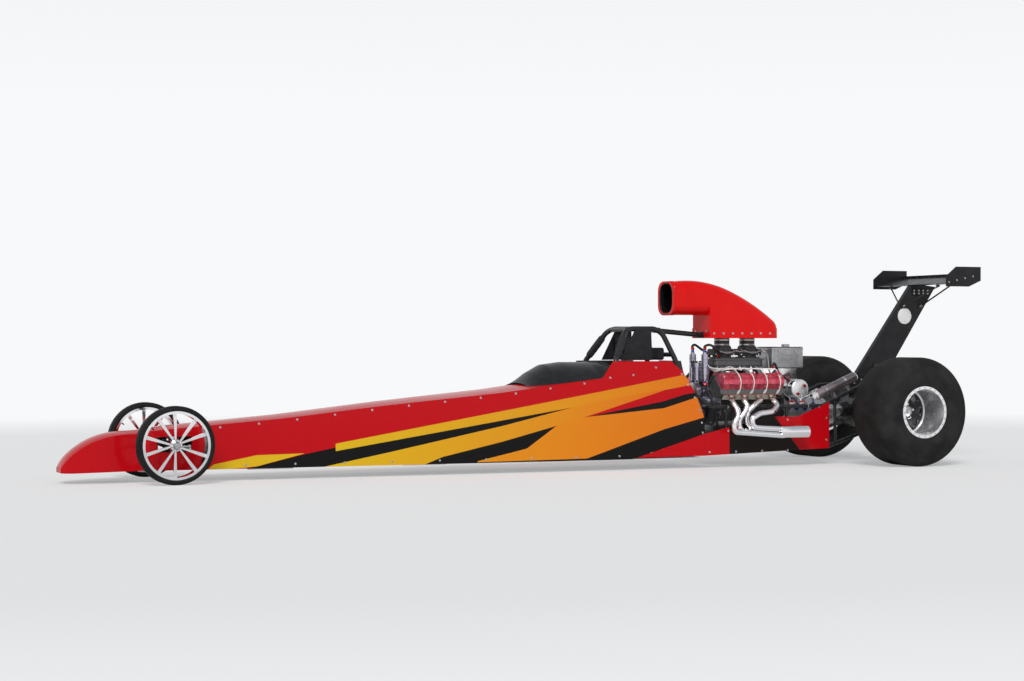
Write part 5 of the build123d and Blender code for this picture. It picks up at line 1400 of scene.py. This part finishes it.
def chuteBag(values):
    # a closed bag laced at its rear, with straps round it, the arm that carries it and its release cable
    centre, half = np.array(values["centre"]), values["half"]
    ends = np.linspace(centre - (half[0], 0, 0), centre + (half[0], 0, 0), 3)
    bag = padding("parachute_bag", cushion(ends, upward, *half[1:], pull=0.02), 0.007, 0.012, "pack_cloth")
    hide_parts("parachute_pack")
    tree = treeOf(bag)
    turn = np.linspace(0, 2 * np.pi, 72)[:, None]

    def wrap(place, first, second):
        rays = np.cos(turn) * first + np.sin(turn) * second
        points = []
        for ray in rays:
            found, _ = landed(tree, [place + ray * 0.4], -ray, 0.0018)
            points.append(found[0] if len(found) else place + ray * 0.1)
        return strip(points, roundedOutline(*values["webbing"]), rays)

    x, y = values["strapX"], values["strapY"]
    straps = [wrap(centre + (step, 0, 0), leftward, upward) for step in (-x, x)]
    straps += [wrap(centre + (0, step, 0), -forward, upward) for step in (-y, y)]
    put("bag_straps", straps, "webbing", "pack_cloth", sharp=60)
    eyes, ways = landed(tree, [centre + (-0.4, y, z) for y in (-0.022, 0.022) for z in (-0.05, 0.0, 0.05)], forward)
    pins = [rod(first + (-0.005, -0.008, 0), second + (-0.005, 0.008, 0), 0.0022, 8, 3)
            for first, second in zip(eyes[:3], eyes[3:])]
    put("bag_eyelets", [turned([(0.0085, 0), (0.0085, 0.002), (0.0045, 0.003)], 20, eyes, ways), *pins], "steel")
    carrier = put("bag_carrier", [rod((-0.428, 0, 0.438), (-0.1502, 0, 0.438), 0.025, 28, 6),
                                  block((-0.1565, 0, 0.438), (0.0125, 0.090, 0.090)),
                                  block((-0.424, 0, 0.455), (0.010, 0.16, 0.15))], "tubeBlack")
    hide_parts("parachute_pack")
    screws = [(-0.1629, y, 0.438 + z) for y in (-0.034, 0.034) for z in (-0.034, 0.034)]
    put("bag_carrier_bolts", bolts(0.005, screws, -forward), "steel")
    cable = [eyes[1] + (-0.006, 0, 0), eyes[1] + (-0.012, 0.045, 0.02), *values["cable"]]
    put("bag_cable", line(cable, 0.0035, steps=7), "hoseBlack")


def plate(outline, low, high):
    # an outline of (x, z) carried across the car
    return ringBody(np.array([[(x, y, z) for x, z in outline] for y in (low, high)]))


seatSet = {
    "half": 0.190,
    "sideThick": 0.010,
    "backPath": ((1.907, 0, 0.752), (1.985, 0, 0.462), (2.056, 0, 0.190)),
    "basePath": ((2.078, 0, 0.1625), (2.270, 0, 0.1880), (2.474, 0, 0.2130)),
    "sidePath": ((1.955, 0.1835, 0.665), (2.060, 0.1835, 0.430), (2.180, 0.1835, 0.262), (2.455, 0.1835, 0.252)),
    "back": ((2.030, 0.130), (2.045, 0.150), (1.895, 0.760), (1.880, 0.760)),
    "base": ((2.030, 0.130), (2.480, 0.190), (2.480, 0.199), (2.045, 0.150)),
    "side": ((1.880, 0.700), (2.030, 0.130), (2.480, 0.190), (2.480, 0.300), (2.150, 0.330), (1.990, 0.690)),
    "belt": (0.048, 0.0024, 0.001),         # width, thickness and corner
}


def seatPieces(values):
    # a shell of sheet on two cross bars, its pads, and the belts that lie on them
    half = values["half"]
    shell = [plate(values["back"], -half, half), plate(values["base"], -half, half)]
    shell += bothSides(plate(values["side"], half, half + values["sideThick"]))
    shell += [block((2.075, 0, 0.117), (0.030, 0.300, 0.062)), block((2.315, 0, 0.133), (0.030, 0.300, 0.094))]
    shellPiece = put("seat_shell", shell, "satinBlack")
    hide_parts("seat")
    backPad = cushion(values["backPath"], forward, half - 0.006, 0.0165, (-0.45, 0.05, 0.5), 0.02)
    basePad = cushion(values["basePath"], upward, half - 0.006, 0.0105, (-0.3, 0.35), 0.02)
    back = padding("seat_back_pad", backPad, 0.007, 0.007)
    base = padding("seat_base_pad", basePad, 0.006, 0.005)
    padding("seat_side_pads", bothSides(cushion(values["sidePath"], leftward, 0.045, 0.0065, (-0.4, 0.3))))
    for piece in (back, base):
        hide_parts("seat")
    belt, t = roundedOutline(*values["belt"]), np.linspace(0, 1, 14)
    belts, backTree = [], treeOf(back)
    for side in (-1, 1):
        down = np.column_stack([np.full(14, 2.5), side * (0.085 - 0.055 * t), 0.735 - 0.42 * t])
        found, _ = landed(backTree, down, -forward, 0.0020)
        shoulder = [(1.892, side * 0.088, 0.772), (1.915, side * 0.087, 0.772), *found, (2.085, side * 0.026, 0.272)]
        lap = [(2.075, side * 0.178, 0.215), (2.105, side * 0.13, 0.240), (2.112, side * 0.035, 0.262)]
        belts += [strip(smooth(shoulder, 2), belt, (0.95, 0, 0.3)), strip(smooth(lap, 6), belt, (0.55, 0, 0.85))]
    found, _ = landed(treeOf(base), [(x, 0, 0.6) for x in np.linspace(2.15, 2.27, 8)], -upward, 0.002)
    belts.append(strip(smooth([(2.112, 0, 0.245), *found], 3), belt, (0.2, 0, 1)))
    put("harness_belts", belts, "webbing", sharp=60)
    put("harness_buckle", turned([(0.034, 0), (0.036, 0.003), (0.036, 0.012), (0.030, 0.017), (0.012, 0.019)], 32,
                                 (2.106, 0, 0.262), (0.75, 0, 0.66)), "steel")


cageSet = {
    "sidePad": ((2.085, 0.1602, 0.975), (2.150, 0.1602, 0.975), (2.215, 0.1602, 0.975)),
    "rearPad": ((1.926, -0.120, 0.905), (1.926, 0, 0.905), (1.926, 0.120, 0.905)),
    "sleeve": ((2.405, 0.258, 0.882), (2.312, 0.180, 1.040)),
    "sleeveRadius": 0.0265,
    "ties": (0.28, 0.72),
}


def cagePads(values):
    # head pads at both sides and behind, sleeves on the side loops
    padding("head_side_pads", bothSides(cushion(values["sidePad"], leftward, 0.058, 0.0105, (0.0,))))
    padding("head_rear_pad", cushion(values["rearPad"], forward, 0.052, 0.014, (-0.35, 0.35)))
    first, second = np.array(values["sleeve"])
    radius = values["sleeveRadius"]
    roll = cushion(np.linspace(first, second, 3), leftward, radius, radius, (-0.5, 0.0, 0.5), 0.0, 30, 24)
    padding("cage_sleeves", bothSides(roll))
    places = [first + (second - first) * share for share in values["ties"]]
    pair("cage_sleeve_ties", band(radius + 0.0003, 0.004, 0.0008, 24, places, second - first), "webbing")


yokeSet = {
    "grip": ((2.4405, 0.1505, 0.7905), (2.4325, 0.1125, 0.7406)),
    "gripRadius": 0.0158,
    "ribs": 8,
    "ribDepth": 0.0011,
    "hubZ": 0.7235,
}


def yokeGrips(values):
    # ribbed sleeves on the yoke's ends, their radius a wave along them, a hub plate with its bolts, two push buttons
    start, end = np.array(values["grip"])
    t = np.linspace(0, 1, 34)
    radius = values["gripRadius"] + values["ribDepth"] * np.cos(t * 2 * np.pi * values["ribs"])
    z = values["hubZ"]
    hub = [turned([(0.034, 0), (0.036, 0.003), (0.036, 0.008), (0.030, 0.011)], 32, (2.424, 0, z), (-0.98, 0, -0.05)),
           bolts(0.003, circle(0, (2.4135, 0, z), 0.024, 5)[0], -forward)]
    pair("yoke_grips", tube(start + (end - start) * t[:, None], radius, 24), "hoseBlack")
    put("yoke_hub", hub, "machined")
    pair("yoke_buttons", turned([(0.006, 0), (0.006, 0.005), (0.004, 0.0065)], 16, (2.4315, 0.1520, 0.8020),
                                (-0.3, 0.1, 0.95)), "fittingRed")


chuteBag(bagSet)
seatPieces(seatSet)
cagePads(cageSet)
yokeGrips(yokeSet)
print("soft pieces made")


# body fasteners and trim

bodySet = {
    "pitch": 0.285,
    "aside": 0.8,                     # y and z that the rays start from
    "above": 1.2,
    "stud": (0.0085, 0.00731, 0.00425, (0.0012, 0.0022, 0.0032)),
    "rivet": (0.0036, 0.0016),
    "seam": ((2.57, 3.40, 4.30, 5.10, 6.08), (0.716, 0.612, 0.529, 0.442, 0.364)),      # all x, then all z
    "rearEdge": ((0.275, 0.418, 0.590, 0.764, 0.850), (1.660, 1.675, 1.745, 1.860, 1.968)),      # all z, then all x
    "rearStuds": (0.745, 0.66, 0.56, 0.46, 0.36, 0.28),
    "cowlStuds": ((2.50, 0.722), (2.30, 0.742), (2.10, 0.80)),
    "lowFoot": (1.62, 1.38, 1.14, 0.90, 0.66),
    "lowStuds": ((0.53, 0.20), (0.53, 0.38), (0.60, 0.47), (0.90, 0.37), (1.20, 0.32), (1.45, 0.29)),
    "noseX": 6.092,
    "window": ((5.90, 0.8, 0.27), (0.142, 0, 0.075), 13),      # middle, reach and rivets round the axle's opening
    "skids": (5.2, 4.0, 2.9),
}


def bodyTrim(values):
    # studs and rivets along the panels' edges, each where a ray meets its panel, a rubber lip on the cowl, and skids
    pitch, aside, above, noseX = (values[key] for key in ("pitch", "aside", "above", "noseX"))

    def landedOn(node, starts, way, lift):
        return landed(treeOf(nodes[node]), starts, way, lift)

    def studsOn(node, places):
        return stamped(studOf(*values["stud"]), *landedOn(node, [(x, aside, z) for x, z in places], -leftward, -0.0002))

    def rivetsOn(node, starts, way):
        return rivets(*values["rivet"], *landedOn(node, starts, way, -0.0001))

    seamX = np.arange(2.72, 5.7, pitch)
    side = list(zip(seamX, np.interp(seamX, *values["seam"]) - 0.018))
    side += [(x, 0.112) for x in np.arange(2.42, 5.6, pitch * 1.3)]
    side += [(np.interp(z, *values["rearEdge"]) + 0.022, z) for z in values["rearStuds"]]
    low = [(x, 0.125) for x in values["lowFoot"]]
    pair("body_studs", [studsOn("body_side_left", side + list(values["cowlStuds"])),
                        studsOn("rear_side_panels", low + list(values["lowStuds"]))], "steel")
    pair("nose_rivets", [rivetsOn("nose_cone", [(noseX, aside, z) for z in np.linspace(0.115, 0.345, 7)], -leftward),
                         rivetsOn("body_side_left", circle(acrossCar, *values["window"])[0], -leftward),
                         rivetsOn("nose_cone", [(noseX, y, 0.9) for y in (0.04, 0.09, 0.135)], -upward)], "bodyPaint")
    hood = [(x, y, above) for x in (3.12, 4.30, 5.10) for y in (0.02, 0.07, 0.12)]
    pair("hood_rivets", rivetsOn("hood_panel", hood, -upward), "bodyPaint")
    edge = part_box("cockpit_cowl")[0][0] - axleX + 0.006
    path, _ = landedOn("cockpit_cowl", [(edge, y, above) for y in np.linspace(-0.3, 0.3, 41)], -upward, 0.0)
    put("cowl_lip", tube(path + (0, 0, 0.002), 0.0065, 12), "hoseBlack")
    pair("belly_skids", [block((x, 0.22, 0.0815), (0.34, 0.030, 0.006), 0.002) for x in values["skids"]], "machined")


bodyTrim(bodySet)
print("body pieces made")
